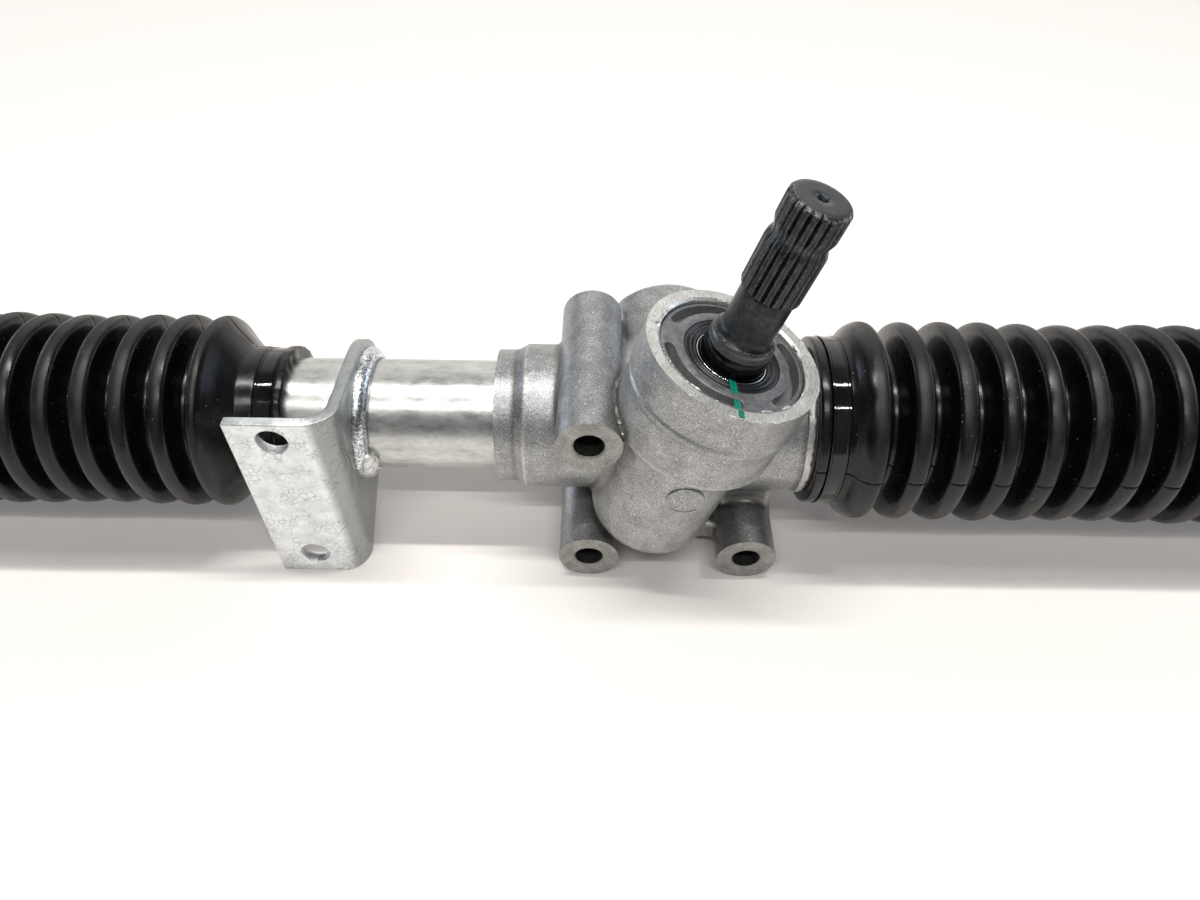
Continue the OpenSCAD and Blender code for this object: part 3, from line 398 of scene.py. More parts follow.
# %% Phosphate, bright steel and brass
# Phosphate on steel: mid grey and matt. Its crystals are far too fine to show, so only their clouds are drawn
phosphate, node, grain, where = surface("phosphated_steel", Metallic=0.5, Roughness=0.42)
film = grain(1.6, 4, 0.65)
skin = node("ValToRGB", film, stops=[(0.34, "#67686a"), (0.52, "#77787a"), (0.68, "#8a8b8c")])
along, reach = from_pinion(node, where)
# Painted highlight: the floors of the wrench slots are painted paler
slot_floor_highlight = node("MapRange", along, 41.3, 41.55, 1, 0)
slot_floor_highlight = node("Math", slot_floor_highlight, node("MapRange", reach, 46.4, 46.0), operation="MULTIPLY")
skin = coat(node, skin, slot_floor_highlight, node("MapRange", reach, 39.5, 40.0, 0, 0.25), "#a2a29e")
dress(phosphate, skin, (grain(0.5, 3), 0.035), rough=(film, 0.34, 0.48))

# Ground steel: bright. Its fine lines run round the bar and are drawn 0.4 mm wide to show
ground = plain("ground_steel", (0.4, 2, 0.5, (0.5, 6, 6)), [(0.3, "#b9bcc0"), (0.7, "#d8dadd")],
               None, 0.012, (0.12, 0.24), Metallic=1.0, Roughness=0.16)
# Turned steel under a film of oil: mid grey with an uneven gloss
turned_steel = plain("turned_steel", (5, 3), [(0.35, "#5d6165"), (0.6, "#83878b")],
                     (0.35, 2, 0.5, (0.5, 5, 5)), 0.025, (0.24, 0.42), Metallic=0.95, Roughness=0.32)
# Steel polished for the seal's lip: black and glossy
glossy = plain("polished_black_steel", (3, 2), [(0.35, "#0b0c0d"), (0.7, "#17181a")],
               (0.4, 2, 0.5, (4, 4, 0.5)), 0.008, Metallic=0.6, Roughness=0.12)
# Stamped brass: warm and half bright
brass = plain("stamped_brass", (2, 3), [(0.35, "#a5813f"), (0.7, "#c9a55c")],
              (0.6, 2), 0.02, Metallic=1.0, Roughness=0.3)
print("others:", [m.name for m in (phosphate, ground, turned_steel, glossy, brass)])

# %% [markdown]
# ## Rubber and plastics
# The boots are moulded chloroprene: nearly black, satin, with a soft grey bloom along the crests where
# they rub. Cable ties are nylon, glossier than anything round them. The oil seal is nitrile rubber.

# %% Rubber, nylon, acetal and paint
# Chloroprene rubber from a mould: near black and satin, duller where its crests rub
rubber, node, grain, where = surface("moulded_chloroprene", **{"Roughness": 0.27, "Specular IOR Level": 0.4})
bloom = grain(6, 4, 0.6)
skin = node("ValToRGB", bloom, stops=[(0.35, "#060607"), (0.7, "#0c0c0d")])
worn = node("Attribute", attribute_name="worn", out="Fac")
skin = coat(node, skin, worn, node("MapRange", bloom, 0.35, 0.65, 0.1, 0.8), "#1e1d1c")
skin = coat(node, skin, node("MapRange", grain(0.7, 1), 0.76, 0.79), 0.6, "#8a8a88")
satin = node("MapRange", bloom, 0.3, 0.7, 0.18, 0.3)
satin = node("Math", worn, 0.22, satin, operation="MULTIPLY_ADD")
dress(rubber, skin, (grain(3, 2), 0.06), (grain(0.5, 2), 0.012), rough=satin)

# Nitrile rubber, moulded: black and nearly matt
nitrile = plain("moulded_nitrile_rubber", (2, 3), [(0.35, "#0c0c0d"), (0.7, "#1b1c1d")], (0.6, 3), 0.03,
                Roughness=0.35)
# Nylon from a polished mould: black and glossy enough to show the lamps as lines
nylon = plain("black_nylon", (4, 3), [(0.35, "#070708"), (0.7, "#111213")], (1.2, 2), 0.01, (0.04, 0.1),
              Roughness=0.09)
# Acetal, machined: milky white and waxy
acetal = plain("natural_acetal", (4, 3), [(0.35, "#e2ddcd"), (0.7, "#efebdf")], (1, 2), 0.02, Roughness=0.3)
# Marking paint: teal, glossy, with ridges from the brush
witness = plain("witness_paint_teal", (0.8, 3), [(0.35, "#05604f"), (0.7, "#0f8f77")], (0.5, 2), 0.05, Roughness=0.3)
print("materials:", len(bpy.data.materials))

# %% [markdown]
# ## Making pieces
# Nearly everything here was turned on a lathe or moulded in a round tool, so one function turns a
# chain of radius and height points about an axis. A shape function may then move the radius with the
# angle, which is how one smooth shaft becomes splined or threaded. Points on the axis are merged, the
# normals are made to point outwards, and only edges sharper than a limit stay sharp.

# %% Meshes


def settle(piece, sharp=35.0):
    """Merges doubles, turns normals outwards, and shades smooth up to an angle in degrees."""
    mesh = piece.data
    work = bmesh.new()
    work.from_mesh(mesh)
    bmesh.ops.remove_doubles(work, verts=work.verts, dist=1e-7)
    bmesh.ops.dissolve_degenerate(work, edges=work.edges, dist=1e-8)
    bmesh.ops.recalc_face_normals(work, faces=work.faces)
    work.to_mesh(mesh)
    work.free()
    mesh.polygons.foreach_set("use_smooth", [True] * len(mesh.polygons))
    mesh.set_sharp_from_angle(angle=radians(sharp))
    return piece


def from_work(name, work, material, sharp=35.0):
    """A piece from a bmesh, which is freed."""
    mesh = bpy.data.meshes.new(name)
    work.to_mesh(mesh)
    work.free()
    mesh.materials.append(material)
    return settle(put(name, mesh), sharp)


def baked(piece):
    """The mesh of a piece with its modifiers applied."""
    graph = bpy.context.evaluated_depsgraph_get()
    return bpy.data.meshes.new_from_object(piece.evaluated_get(graph), depsgraph=graph)


def in_metres(place):
    """A place in millimetres, for a mesh in metres."""
    return Matrix.Translation(place.translation * MM) @ place.to_3x3().to_4x4()


def mark(mesh, **numbers):
    """Stores numbers for each point of a mesh, such as worn."""
    for key, values in numbers.items():
        values = np.asarray(values, np.float32).ravel()
        mesh.attributes.new(key, "FLOAT", "POINT").data.foreach_set("value", values)


def solid(name, points, faces, material, place=None, sharp=35.0, **numbers):
    """A piece from points in millimetres, with numbers for each point."""
    mesh = bpy.data.meshes.new(name)
    mesh.from_pydata((np.asarray(points) * MM).tolist(), [], faces)
    if place is not None:
        mesh.transform(in_metres(place))
    mark(mesh, **numbers)
    mesh.materials.append(material)
    return settle(put(name, mesh), sharp)


print("mesh makers:", [f.__name__ for f in (settle, from_work, baked, mark, solid)])

# %% Turned solids


def turned(name, chain, material, place, around=96, shape=None, worn=None, ring=False, sharp=35.0):
    """Turns (radius, height) points, from axis to axis or as a closed ring. around is a count or angles."""
    chain = np.array(chain, float)
    rows = len(chain)
    angle = np.arange(around) * 2 * pi / around if isinstance(around, int) else around
    angle, around = angle[None, :], len(angle)
    radius = np.repeat(chain[:, :1], around, 1)
    height = np.repeat(chain[:, 1:], around, 1)
    if shape is not None:
        radius, height = shape(radius, height, angle)
    points = np.stack([radius * np.cos(angle), radius * np.sin(angle), height + 0 * angle], -1).reshape(-1, 3)
    row = np.arange(rows if ring else rows - 1)[:, None]
    a, b = row * around, (row + 1) % rows * around
    j, k = np.arange(around)[None, :], (np.arange(around)[None, :] + 1) % around
    faces = np.stack([a + j, a + k, b + k, b + j], -1).reshape(-1, 4).tolist()
    numbers = {} if worn is None else {"worn": worn(radius, height, angle) + 0 * radius}
    return solid(name, points, faces, material, place, sharp, **numbers)


def arc(r, h, size, start, end, steps=6):
    """Points on an arc round (r, h), between two angles in degrees."""
    turn = np.radians(np.linspace(start, end, steps + 1))
    return list(zip(r + size * np.cos(turn), h + size * np.sin(turn)))


def stands_for(piece, body, slot, *nodes):
    """The piece rides on a body and hides the CAD nodes it stands for; slot is not used."""
    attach(piece, body)
    if nodes:
        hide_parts(*nodes)
    print(piece.name, "rides on", body, "with", sum(len(p.vertices) - 2 for p in piece.data.polygons), "triangles")


print("an arc:", [(round(float(r), 2), round(float(h), 2)) for r, h in arc(0, 0, 1, 0, 90, 2)])

# %% [markdown]
# ## The casting
# A die casting is simple bodies melted together: wherever two of them meet, the die has a fillet. A
# distance field says exactly that. Each body is a formula for the distance to its surface, and a smooth
# minimum joins two of them with a fillet of a chosen size. The bodies run past their machined faces,
# because the faces are cut afterwards, as on the real thing.

# %% The casting as a distance field
BARREL = [(0, -54), (19.5, -54), (19.6, -45.6), (20.4, -44), (21.3, -42.6), (21.1, 36.2), (21.8, 36.7),
          (21.8, 38.4), (20.8, 38.9), (20.8, 54), (0, 54)]
TOWER = [(0, -28.5)] + arc(9, -19.5, 9, -90, 0) + [(18, 14)] + arc(21.3, 16, 1.9, -90, 0, 4) + \
    [(23.3, 26.4), (23.7, 29.6), (23.7, 46), (0, 46)]
YOKE_BOSS = [(0, -5), (21.2, -5)] + arc(18.2, 36, 3, 0, 90, 4) + [(0, 39)]
BOSS = [(0, -32), (9.05, -32), (8.85, 29), (0, 29)]
RIB = [(0, -13), (2.5, -14.5), (14.6, -26), (17.4, 0), (0, 0)]
RIB_LINE = (-26, -20, -15, -4, 1, 4), (-13.2, -13.8, -15.1, -16.3, -15.4, -14.3)
RIB_ROUND, RIB_HALF = 0.9, 0.3


def chain_distance(r, h, chain):
    """Distance to a solid turned from a chain, negative inside."""
    best = np.full(r.shape, 1e9, r.dtype)
    inside = np.zeros(r.shape, bool)
    for (ra, ha), (rb, hb) in zip(chain, chain[1:]):
        er, eh = rb - ra, hb - ha
        share = np.clip(((r - ra) * er + (h - ha) * eh) / (er * er + eh * eh), 0, 1)
        best = np.minimum(best, (r - ra - share * er) ** 2 + (h - ha - share * eh) ** 2)
        if eh:
            inside ^= ((h > ha) != (h > hb)) & (r < ra + (h - ha) * er / eh)
    return np.where(inside, -1, 1) * np.sqrt(best)


def box_distance(p, low, high, edge=0.8):
    """Distance to a box with rounded edges."""
    low, high = np.array(low, np.float32), np.array(high, np.float32)
    q = np.abs(p - (low + high) / 2) - (high - low) / 2 + edge
    return np.linalg.norm(np.maximum(q, 0), axis=-1) + np.minimum(q.max(-1), 0) - edge


def join(a, b, fillet):
    """Smooth minimum: two bodies joined with a fillet about that size."""
    share = np.clip(0.5 + 0.5 * (b - a) / fillet, 0, 1)
    return b + (a - b) * share - fillet * share * (1 - share)


def casting(p):
    """Distance from points to the surface of the casting before it is machined."""
    x, y, z = p[:, 0], p[:, 1], p[:, 2]
    d = chain_distance(np.hypot(y, z - RACK_H), x, BARREL)
    d = join(d, chain_distance(np.hypot(x, z - RACK_H), y, YOKE_BOSS), 4)
    d = join(d, box_distance(p, (16, -12.5, -4), (32, 12.5, RACK_H), 1.5), 2)
    d = join(d, box_distance(p, (-32, -4, -4), (-16, 12.5, RACK_H), 1.5), 2)
    d = join(d, box_distance(p, (-24, -18, -3.5), (24, 18, 3.5)), 1.5)
    off = p - PINION.astype(np.float32)
    s = off @ LEAN.astype(np.float32)
    d = join(d, chain_distance(np.sqrt(np.maximum((off * off).sum(-1) - s * s, 0)), s, TOWER), 2.4)
    for bx, bz in BOSSES:
        d = join(d, chain_distance(np.hypot(x - bx, z - bz), y, BOSS), 1.6 if bz else 2.5)
    side = np.abs(x - np.interp(y, *RIB_LINE)) - RIB_HALF
    across = np.maximum(chain_distance(np.maximum(z - 34, 0), y, RIB) + RIB_ROUND, 20 - z)
    rib = np.hypot(np.maximum(side, 0), np.maximum(across, 0)) + np.minimum(np.maximum(side, across), 0) - RIB_ROUND
    return join(d, rib, 1.2)


depth = -casting(np.array([[0, 0, RACK_H]], np.float32))[0]
print("the rack's axis runs", round(float(depth), 1), "mm deep in the casting")

# %% [markdown]
# To turn the field into a mesh, space is cut into small cubes. Each cube that the surface passes
# through gets one point, and each cube edge that it crosses gets one face between four cubes. Corners
# that would make two faces meet in a single edge or point are filled first. The points are then pulled
# exactly onto the surface along the field's slope, so the mesh is smooth although its cubes are coarse.
# The same field, read a little way off, says where the surface is hollow, which gets painted shade, or worn.

# %% Slope, and pinched corners
CELL = 0.8


def slope(field, p, reach=0.05):
    """Direction in which the distance grows fastest."""
    steps = np.eye(3, dtype=np.float32) * reach
    return np.stack([field(p + e) - field(p - e) for e in steps], -1) / (2 * reach)


def unpinch(inside, corners):
    """Fills corners until no edge or cube has its filled corners only diagonally across."""
    filled = -1
    while filled != inside.sum():
        filled = inside.sum()
        for d in range(3):
            near = np.moveaxis(inside, d, 0)
            four = near[:, :-1, :-1], near[:, 1:, 1:], near[:, :-1, 1:], near[:, 1:, :-1]
            pinched = (four[0] == four[1]) & (four[2] == four[3]) & (four[0] != four[2])
            for part in four:
                part |= pinched
        count = sum(c.astype(np.int8) for c in corners)
        for a, b in zip(corners[:4], corners[:3:-1]):
            pinched = (a == b) & np.where(a, count == 2, count == 6)
            for part in corners:
                part |= pinched


print("cube edge:", CELL, "mm")

# %% From field to mesh


def mesh_of(field, low, high, cell):
    """Points and four-sided faces of the surface where the field is zero."""
    axes = [np.arange(a, b + cell, cell, dtype=np.float32) for a, b in zip(low, high)]
    size = [len(a) for a in axes]
    values = np.empty(size, np.float32)
    yz = np.stack(np.meshgrid(axes[1], axes[2], indexing="ij"), -1).reshape(-1, 2)
    for i, x in enumerate(axes[0]):
        values[i] = field(np.column_stack([np.full(len(yz), x, np.float32), yz])).reshape(size[1:])
    inside = values < 0
    corners = [inside[i:size[0] - 1 + i, j:size[1] - 1 + j, k:size[2] - 1 + k]
               for i in (0, 1) for j in (0, 1) for k in (0, 1)]
    unpinch(inside, corners)
    count = sum(c.astype(np.int8) for c in corners)
    crossed = (count > 0) & (count < 8)
    number = np.full(crossed.shape, -1)
    number[crossed] = np.arange(crossed.sum())
    points = [axes[d][index] + cell / 2 for d, index in enumerate(np.nonzero(crossed))]
    points = np.stack(points, -1).astype(np.float32)
    for _ in range(5):
        g = slope(field, points)
        g /= np.maximum(np.linalg.norm(g, axis=-1, keepdims=True), 0.3)
        points -= np.clip(field(points)[:, None] * g, -cell, cell)
    faces = []
    for d in range(3):
        turned_axes = (d, (d + 1) % 3, (d + 2) % 3)
        within = np.moveaxis(inside, turned_axes, (0, 1, 2))
        ids = np.moveaxis(number, turned_axes, (0, 1, 2))
        change = within[:-1, 1:-1, 1:-1] != within[1:, 1:-1, 1:-1]
        i, j, k = np.nonzero(change)
        quad = np.stack([ids[i, j, k], ids[i, j + 1, k], ids[i, j + 1, k + 1], ids[i, j, k + 1]], -1)
        back = ~within[:-1, 1:-1, 1:-1][change]
        quad[back] = quad[back][:, ::-1]
        faces.append(quad)
    return points, np.concatenate(faces)


points, faces = mesh_of(casting, (-56, -44, -14), (56, 41, 84), CELL)
print("casting:", len(points), "points")

# %% [markdown]
# Machining comes next: one cutter for the rack's line, one for the pinion's, one for the yoke and one
# for each boss. They are turned solids with the profile of the real tools, chamfers included, and the
# faces that they leave take the finish of the cutter's own material.

# %% Machining
BORE_R, SPOT_R, CHAMFER = 4.2, 9.7, 0.5
STAKE_AT, STAKE_R = radians(169.5), 20.6
housing = solid("housing_casting", points, faces.tolist(), cast)


def cut(piece, tool):
    """Takes a tool's shape out of a piece and keeps the tool's material on the new faces."""
    modifier = piece.modifiers.new("cut", "BOOLEAN")
    modifier.operation = "DIFFERENCE"
    modifier.solver = "EXACT"
    modifier.object = tool
    modifier.material_mode = "TRANSFER"
    mesh = baked(piece)
    piece.modifiers.clear()
    piece.data = mesh
    bpy.data.objects.remove(tool)


def along_y(x, z):
    """Place for a tool that works along Y."""
    return basis((x, 0, z), (0, 1, 0), (1, 0, 0))


cut(housing, turned("rack_tool", [(0, -60), (32, -60), (32, -51), (16.7, -51), (16.2, -50.5), (16.2, -37), (12, -37),
                                  (12, 50.3), (12.5, 50.8), (32, 50.8), (32, 60), (0, 60)], machined, ON_RACK))
cut(housing, turned("pinion_tool", [(0, -23), (9, -23), (9, -15.3), (13.16, -15.3), (13.16, 23.2), (20, 23.2),
                                    (20, 42.2), (20.7, RIM_S), (34, RIM_S), (34, 60), (0, 60)],
                    machined, ON_PINION, 128))
cut(housing, turned("yoke_tool", [(0, 1), (14.05, 1), (14.05, 38.2), (14.6, 38.7), (30, 38.7), (30, 50), (0, 50)],
                    machined, along_y(0, RACK_H)))
for bx, bz in BOSSES:
    mouth = BORE_R + CHAMFER
    chain = [(0, -45), (SPOT_R, -45), (SPOT_R, FACE_Y), (mouth, FACE_Y), (BORE_R, FACE_Y + CHAMFER),
             (BORE_R, BACK_Y - CHAMFER), (mouth, BACK_Y), (SPOT_R, BACK_Y), (SPOT_R, 45), (0, 45)]
    # The boss faces take the spot-face finish, whose grey is painted shade
    tool = turned("boss_tool", chain, spot_face_shaded, along_y(bx, bz), 64)
    tool.data.materials.append(drilled)
    for face in tool.data.polygons:
        face.material_index = int(abs(face.normal.y) < 0.3 and abs(face.center.y / MM) < -FACE_Y)
    cut(housing, tool)
stake = ON_PINION @ Matrix.Translation((STAKE_R * cos(STAKE_AT), STAKE_R * sin(STAKE_AT), 42.9))
cut(housing, turned("staking_punch", [(0, -1.0)] + arc(0, 0, 1.0, -72, 72, 6) + [(0, 1.0)], machined, stake, 20))
print("machined housing:", len(housing.data.polygons), "faces,", [m.name for m in housing.data.materials])

# %% Wear and painted shade on the casting
REACH = 0.9
coordinates = np.empty(len(housing.data.vertices) * 3, np.float32)
housing.data.vertices.foreach_get("co", coordinates)
spots = coordinates.reshape(-1, 3) * 1000
bend = sum(casting(spots + s * e) for e in np.eye(3, dtype=np.float32) * REACH for s in (-1, 1))
bend = (bend - 6 * casting(spots)) / REACH ** 2
# Concave spots get a number for painted shade, convex edges one for wear
mark(housing.data, worn=np.clip((bend - 0.2) / 0.5, 0, 1), hollow=np.clip((-bend - 0.03) / 0.3, 0, 1))
settle(housing, 32)
stands_for(housing, "housing_unit", "cast_aluminium", "housing")

# %% [markdown]
# ## Small repeated things on a ring
# A weld bead is a row of frozen puddles, each half over the one before, and a milled rim carries a few
# burrs. Both are grains of metal set round a circle, so one geometry tree makes them: points on a
# circle, a small ball on each, and a random size. Skew decides whether the sizes are alike, as in a
# bead, or nearly all tiny, as with burrs. The result is turned into plain mesh before it joins the rack.

# %% Grains on a ring


def grains_tree():
    """Geometry tree: balls on a circle, stretched along it, across it and up, with seeded random sizes."""
    tree = bpy.data.node_groups.new("grains_on_a_ring", "GeometryNodeTree")
    tree.interface.new_socket("Geometry", in_out="OUTPUT", socket_type="NodeSocketGeometry")
    for kind, labels in (("Float", "Radius Length Width Height Least Most Skew Wander"), ("Int", "Count Seed"),
                         ("Material", "Metal")):
        for label in labels.split():
            tree.interface.new_socket(label, in_out="INPUT", socket_type="NodeSocket" + kind)
    node = partial(add, tree)
    given = node("NodeGroupInput").node.outputs
    circle = node("GeometryNodeCurvePrimitiveCircle", Radius=given["Radius"], Resolution=96)
    along = node("GeometryNodeCurveToPoints", Curve=circle, Count=given["Count"], mode="COUNT")
    shift = node("FunctionNodeRandomValue", (-1, -1, -1), (1, 1, 1), Seed=given["Seed"], data_type="FLOAT_VECTOR")
    shift = node("VectorMath", shift, given["Wander"], operation="SCALE")
    spots = node("GeometryNodeSetPosition", Geometry=along, Offset=shift)
    chance = node("FunctionNodeRandomValue", Seed=node("Math", given["Seed"], 7.0, operation="ADD"), data_type="FLOAT")
    chance = node("Math", chance, given["Skew"], operation="POWER")
    size = node("MapRange", chance, 0.0, 1.0, given["Least"], given["Most"])
    shape = node("CombineXYZ", given["Width"], given["Height"], given["Length"])
    scale = node("VectorMath", shape, size, operation="SCALE")
    ball = node("GeometryNodeMeshUVSphere", Segments=14, Rings=8, Radius=1.0)
    placed = node("GeometryNodeInstanceOnPoints", Points=spots, Instance=ball,
                  Rotation=along.node.outputs["Rotation"], Scale=scale)
    real = node("GeometryNodeRealizeInstances", placed)
    node("NodeGroupOutput", node("GeometryNodeSetMaterial", Geometry=real, Material=given["Metal"]))
    return tree


def grow(name, tree, place, **values):
    """Runs a geometry tree with named inputs in millimetres and returns its plain mesh, put in place."""
    source = put(name + "_source", bpy.data.meshes.new(name + "_source"))
    modifier = source.modifiers.new("tree", "NODES")
    modifier.node_group = tree
    for item in tree.interface.items_tree:
        if item.in_out == "INPUT":
            modifier[item.identifier] = values[item.name]
    mesh = baked(source)
    bpy.data.objects.remove(source)
    mesh.transform(in_metres(place) @ Matrix.Scale(MM, 4))
    mesh.name = name
    return settle(put(name, mesh), 60)


grains = grains_tree()
print("inputs:", [item.name for item in grains.interface.items_tree if item.in_out == "INPUT"])

# %% Marks on the casting: the ejector's disc and the rim's burrs
disc = turned("ejector_disc", [(0, 0.3), (4.2, 0.3), (4.45, 0.22), (4.6, 0.03), (4.8, 0), (5.1, 0.08), (5.3, 0.35),
                               (5.3, 3), (0, 3)], cast, basis((2.2, -34.95, 35), (0, 1, 0), (1, 0, 0)), 64)
stands_for(disc, "housing_unit", "cast_aluminium")
for name, radius, seed in (("rim_burrs_outside", 23.55, 5), ("rim_burrs_inside", 20.1, 9)):
    burrs = grow(name, grains, ON_PINION @ Matrix.Translation((0, 0, RIM_S - 0.1)), Radius=radius, Count=90, Seed=seed,
                 Length=0.9, Width=0.3, Height=0.25, Least=0.12, Most=1.5, Skew=5.0, Wander=0.12, Metal=machined)
    stands_for(burrs, "housing_unit", "cast_aluminium")

# %% [markdown]
# ## The steering shaft
# The shaft's upper end was hobbed with twenty rounded splines, grooved for a pinch bolt, chamfered and
# blackened. It is drawn as a turned profile. A groove shape, the same at every height, then limits
# the radius round the angle, so that splines, chamfer and pinch groove cut each other as the cutters
# did, and give the scalloped edges. The helical teeth below are copied from the CAD solid.

# %% Copies of CAD solids


def copy_of(name, node, material, cut_at=None, cut_along=None):
    """A merged copy of a CAD solid. With a plane in millimetres, the side cut_along points to is taken off."""
    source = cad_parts[node]
    work = bmesh.new()
    work.from_mesh(source.data)
    work.transform(source.matrix_world)
    bmesh.ops.remove_doubles(work, verts=work.verts, dist=1e-6)
    if cut_at is not None:
        everything = work.verts[:] + work.edges[:] + work.faces[:]
        bmesh.ops.bisect_plane(work, geom=everything, plane_co=Vector(cut_at) * MM, plane_no=Vector(cut_along),
                               clear_outer=True)
        bmesh.ops.holes_fill(work, edges=[e for e in work.edges if e.is_boundary])
    return from_work(name, work, material)


def as_one(name, *pieces):
    """Joins pieces into one object."""
    with bpy.context.temp_override(active_object=pieces[0], object=pieces[0], selected_objects=pieces,
                                   selected_editable_objects=pieces):
        bpy.ops.object.join()
    pieces[0].name = pieces[0].data.name = name
    return pieces[0]


print("CAD solids to copy from:", len(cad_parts))

# %% Shaft
SPLINES, SPLINES_FROM = 20, 62.95


def across_spline(angle):
    """From 0 in the middle of a groove to 1 on the top of a spline."""
    return np.abs((angle * SPLINES / (2 * pi)) % 1 - 0.5) * 2


def splined(radius, height, angle):
    """Cuts rounded grooves into everything above the shank."""
    floor = 6.87 + 1.2 * np.clip(across_spline(angle) / 0.56, 0, 1) ** 1.25
    cut_radius = np.minimum(radius, floor) - 0.06 * np.exp(-((radius - floor) / 0.12) ** 2)
    return np.where(height > SPLINES_FROM, cut_radius, radius), height


def rubbed(radius, height, angle):
    """Bright edges: the chamfer, the shoulder's lip and the flanks of the splines. Over 1 is bare steel."""
    top = np.clip(1 - np.abs(height - 88.5) / 0.7, 0, 1) * (radius > 6.6)
    lands = 0.35 * np.exp(-((across_spline(angle) - 0.5) / 0.12) ** 2) * (height > 63) * (height < 88)
    shoulder = 1.5 * (height > 46.2) * (height < 49.4) + 0.5 * np.exp(-((height - 46.5) / 0.3) ** 2)
    end = 1.25 * (height > 89.15) * (radius > 1.6)
    return np.where(shoulder + end > 1, shoulder + end, np.clip(top + lands, 0, 1))


shoulder = [(0, 38), (8.6, 38), (8.6, 46.2), (8.62, 46.6), (8.62, 48.2), (8.52, 48.8), (8.2, 49.3), (7.75, 49.8),
            (7.3, 50.3), (7.02, 50.9), (6.92, 51.6), (6.9, 52.4), (6.9, 57), (6.9, 62.9), (7.0, 63.0), (7.35, 63.3),
            (7.7, 63.8), (7.8, 64.3), (7.8, 66), (7.8, 70), (7.8, 74)]
pinch = [(7.8 - 0.75 * (0.5 + 0.5 * cos(pi * t)), 79.3 + 3.0 * t) for t in np.linspace(-1, 1, 15)]
end = [(7.8, 84), (7.8, 87.5), (7.77, 88.1), (7.6, 88.5), (7.3, 88.9), (7.0, 89.12), (6.75, 89.2), (5.5, 89.2),
       (3.5, 89.2), (1.75, 89.2), (1.55, 89.1), (1.05, 88.3), (1.0, 86.5), (0, 85.9)]
upper = turned("shaft_top", shoulder + pinch + end, black_oxide, ON_PINION, 320, splined, rubbed, sharp=40)
lower = copy_of("shaft_low", "pinion_shaft", turned_steel, PINION + 40 * LEAN, LEAN)
shaft = as_one("steering_shaft", upper, lower)
stands_for(shaft, "pinion", "machined_steel", "pinion_shaft")

# %% [markdown]
# Under the shoulder the shaft is ground and glossy, because the seal's lip runs there. The seal is a
# black rubber ring with fine ribs and a bright garter. The nut round it is phosphated: its edges are
# softened on a merged copy of the CAD solid, so that they catch the light.

# %% Journal, seal and ring nut
journal = turned("seal_journal", [(8.5, 41), (8.95, 41), (8.95, 46.1), (8.8, 46.35), (8.5, 46.35)], glossy,
                 ON_PINION, 96, ring=True)
stands_for(journal, "pinion", "machined_steel")

seal = turned("shaft_seal", [(9.0, 37.1), (13.2, 37.1), (13.2, 41.1), (12.95, 41.45), (12.35, 41.5), (12.1, 41.15),
                             (11.75, 41.1), (11.55, 41.4), (11.1, 41.45), (10.9, 41.1), (10.5, 40.95), (10.25, 41.2),
                             (9.95, 41.2), (9.75, 40.8), (9.2, 40.5), (9.0, 40.2)],
              nitrile, ON_PINION, 112, ring=True, sharp=50)
stands_for(seal, "housing_unit", "seal_rubber", "pinion_seal")
garter = turned("seal_garter", arc(9.4, 41.05, 0.22, 0, 330, 11), ground, ON_PINION, 96, ring=True, sharp=80)
stands_for(garter, "housing_unit", "bearing_steel")


def softened(name, node, material, width):
    """A copy of a CAD solid whose sharp edges are rounded by a width in millimetres."""
    piece = copy_of(name, node, material)
    work = bmesh.new()
    work.from_mesh(piece.data)
    bmesh.ops.dissolve_limit(work, angle_limit=radians(0.8), verts=work.verts, edges=work.edges)
    work.to_mesh(piece.data)
    work.free()
    modifier = piece.modifiers.new("edges", "BEVEL")
    modifier.width = width * MM
    modifier.segments = 2
    modifier.limit_method = "ANGLE"
    modifier.angle_limit = radians(30)
    modifier.use_clamp_overlap = False
    mesh = baked(piece)
    piece.modifiers.clear()
    piece.data = mesh
    return settle(piece, 38)


nut = softened("ring_nut", "pinion_nut", phosphate, 0.16)
stands_for(nut, "housing_unit", "nut_steel", "pinion_nut")

# %% [markdown]
# After setting the nut, the fitter drew one stroke of teal paint across seal, nut and rim. If the nut
# ever turns, the stroke breaks. It is a row of thin, ragged patches of paint, one for each level, with
# a gap where the brush jumped the wrench slot.

# %% Witness stroke
LANES, STEPS, PAINT = 7, 12, 0.05
random = np.random.default_rng(11)


def brushed(name, near, far, height, half_width, middle):
    """Ragged bristle marks of paint on a level at height. near and far are distances in front of the axis."""
    points, faces = [], []
    for lane in np.linspace(-1, 1, LANES):
        t = np.linspace(0, 1, STEPS)
        start, end = near + random.uniform(-0.2, 0.8), far - random.uniform(-0.2, 0.8)
        y = -(start + (end - start) * t)
        x = middle[0] + (middle[1] - middle[0]) * t + lane * half_width
        left, right = (x + way * (0.2 + random.uniform(-0.12, 0.1, STEPS)) for way in (-1, 1))
        top, base = height + PAINT + 0.02 * (1 - abs(lane)), len(points)
        for z in (height, top):
            points += [(a, b, z) for a, b in zip(left, y)] + [(a, b, z) for a, b in zip(right, y)]
        for i in range(STEPS - 1):
            lane_faces = [(i, i + 1, i + 13, i + 12), (24 + i, 36 + i, 37 + i, 25 + i), (i, 24 + i, 25 + i, i + 1),
                          (12 + i, 13 + i, 37 + i, 36 + i)]
            faces += [tuple(base + v for v in face) for face in lane_faces]
        faces += [(base, base + 12, base + 36, base + 24), (base + 11, base + 35, base + 47, base + 23)]
    return solid(name, points, faces, witness, ON_PINION, 60)


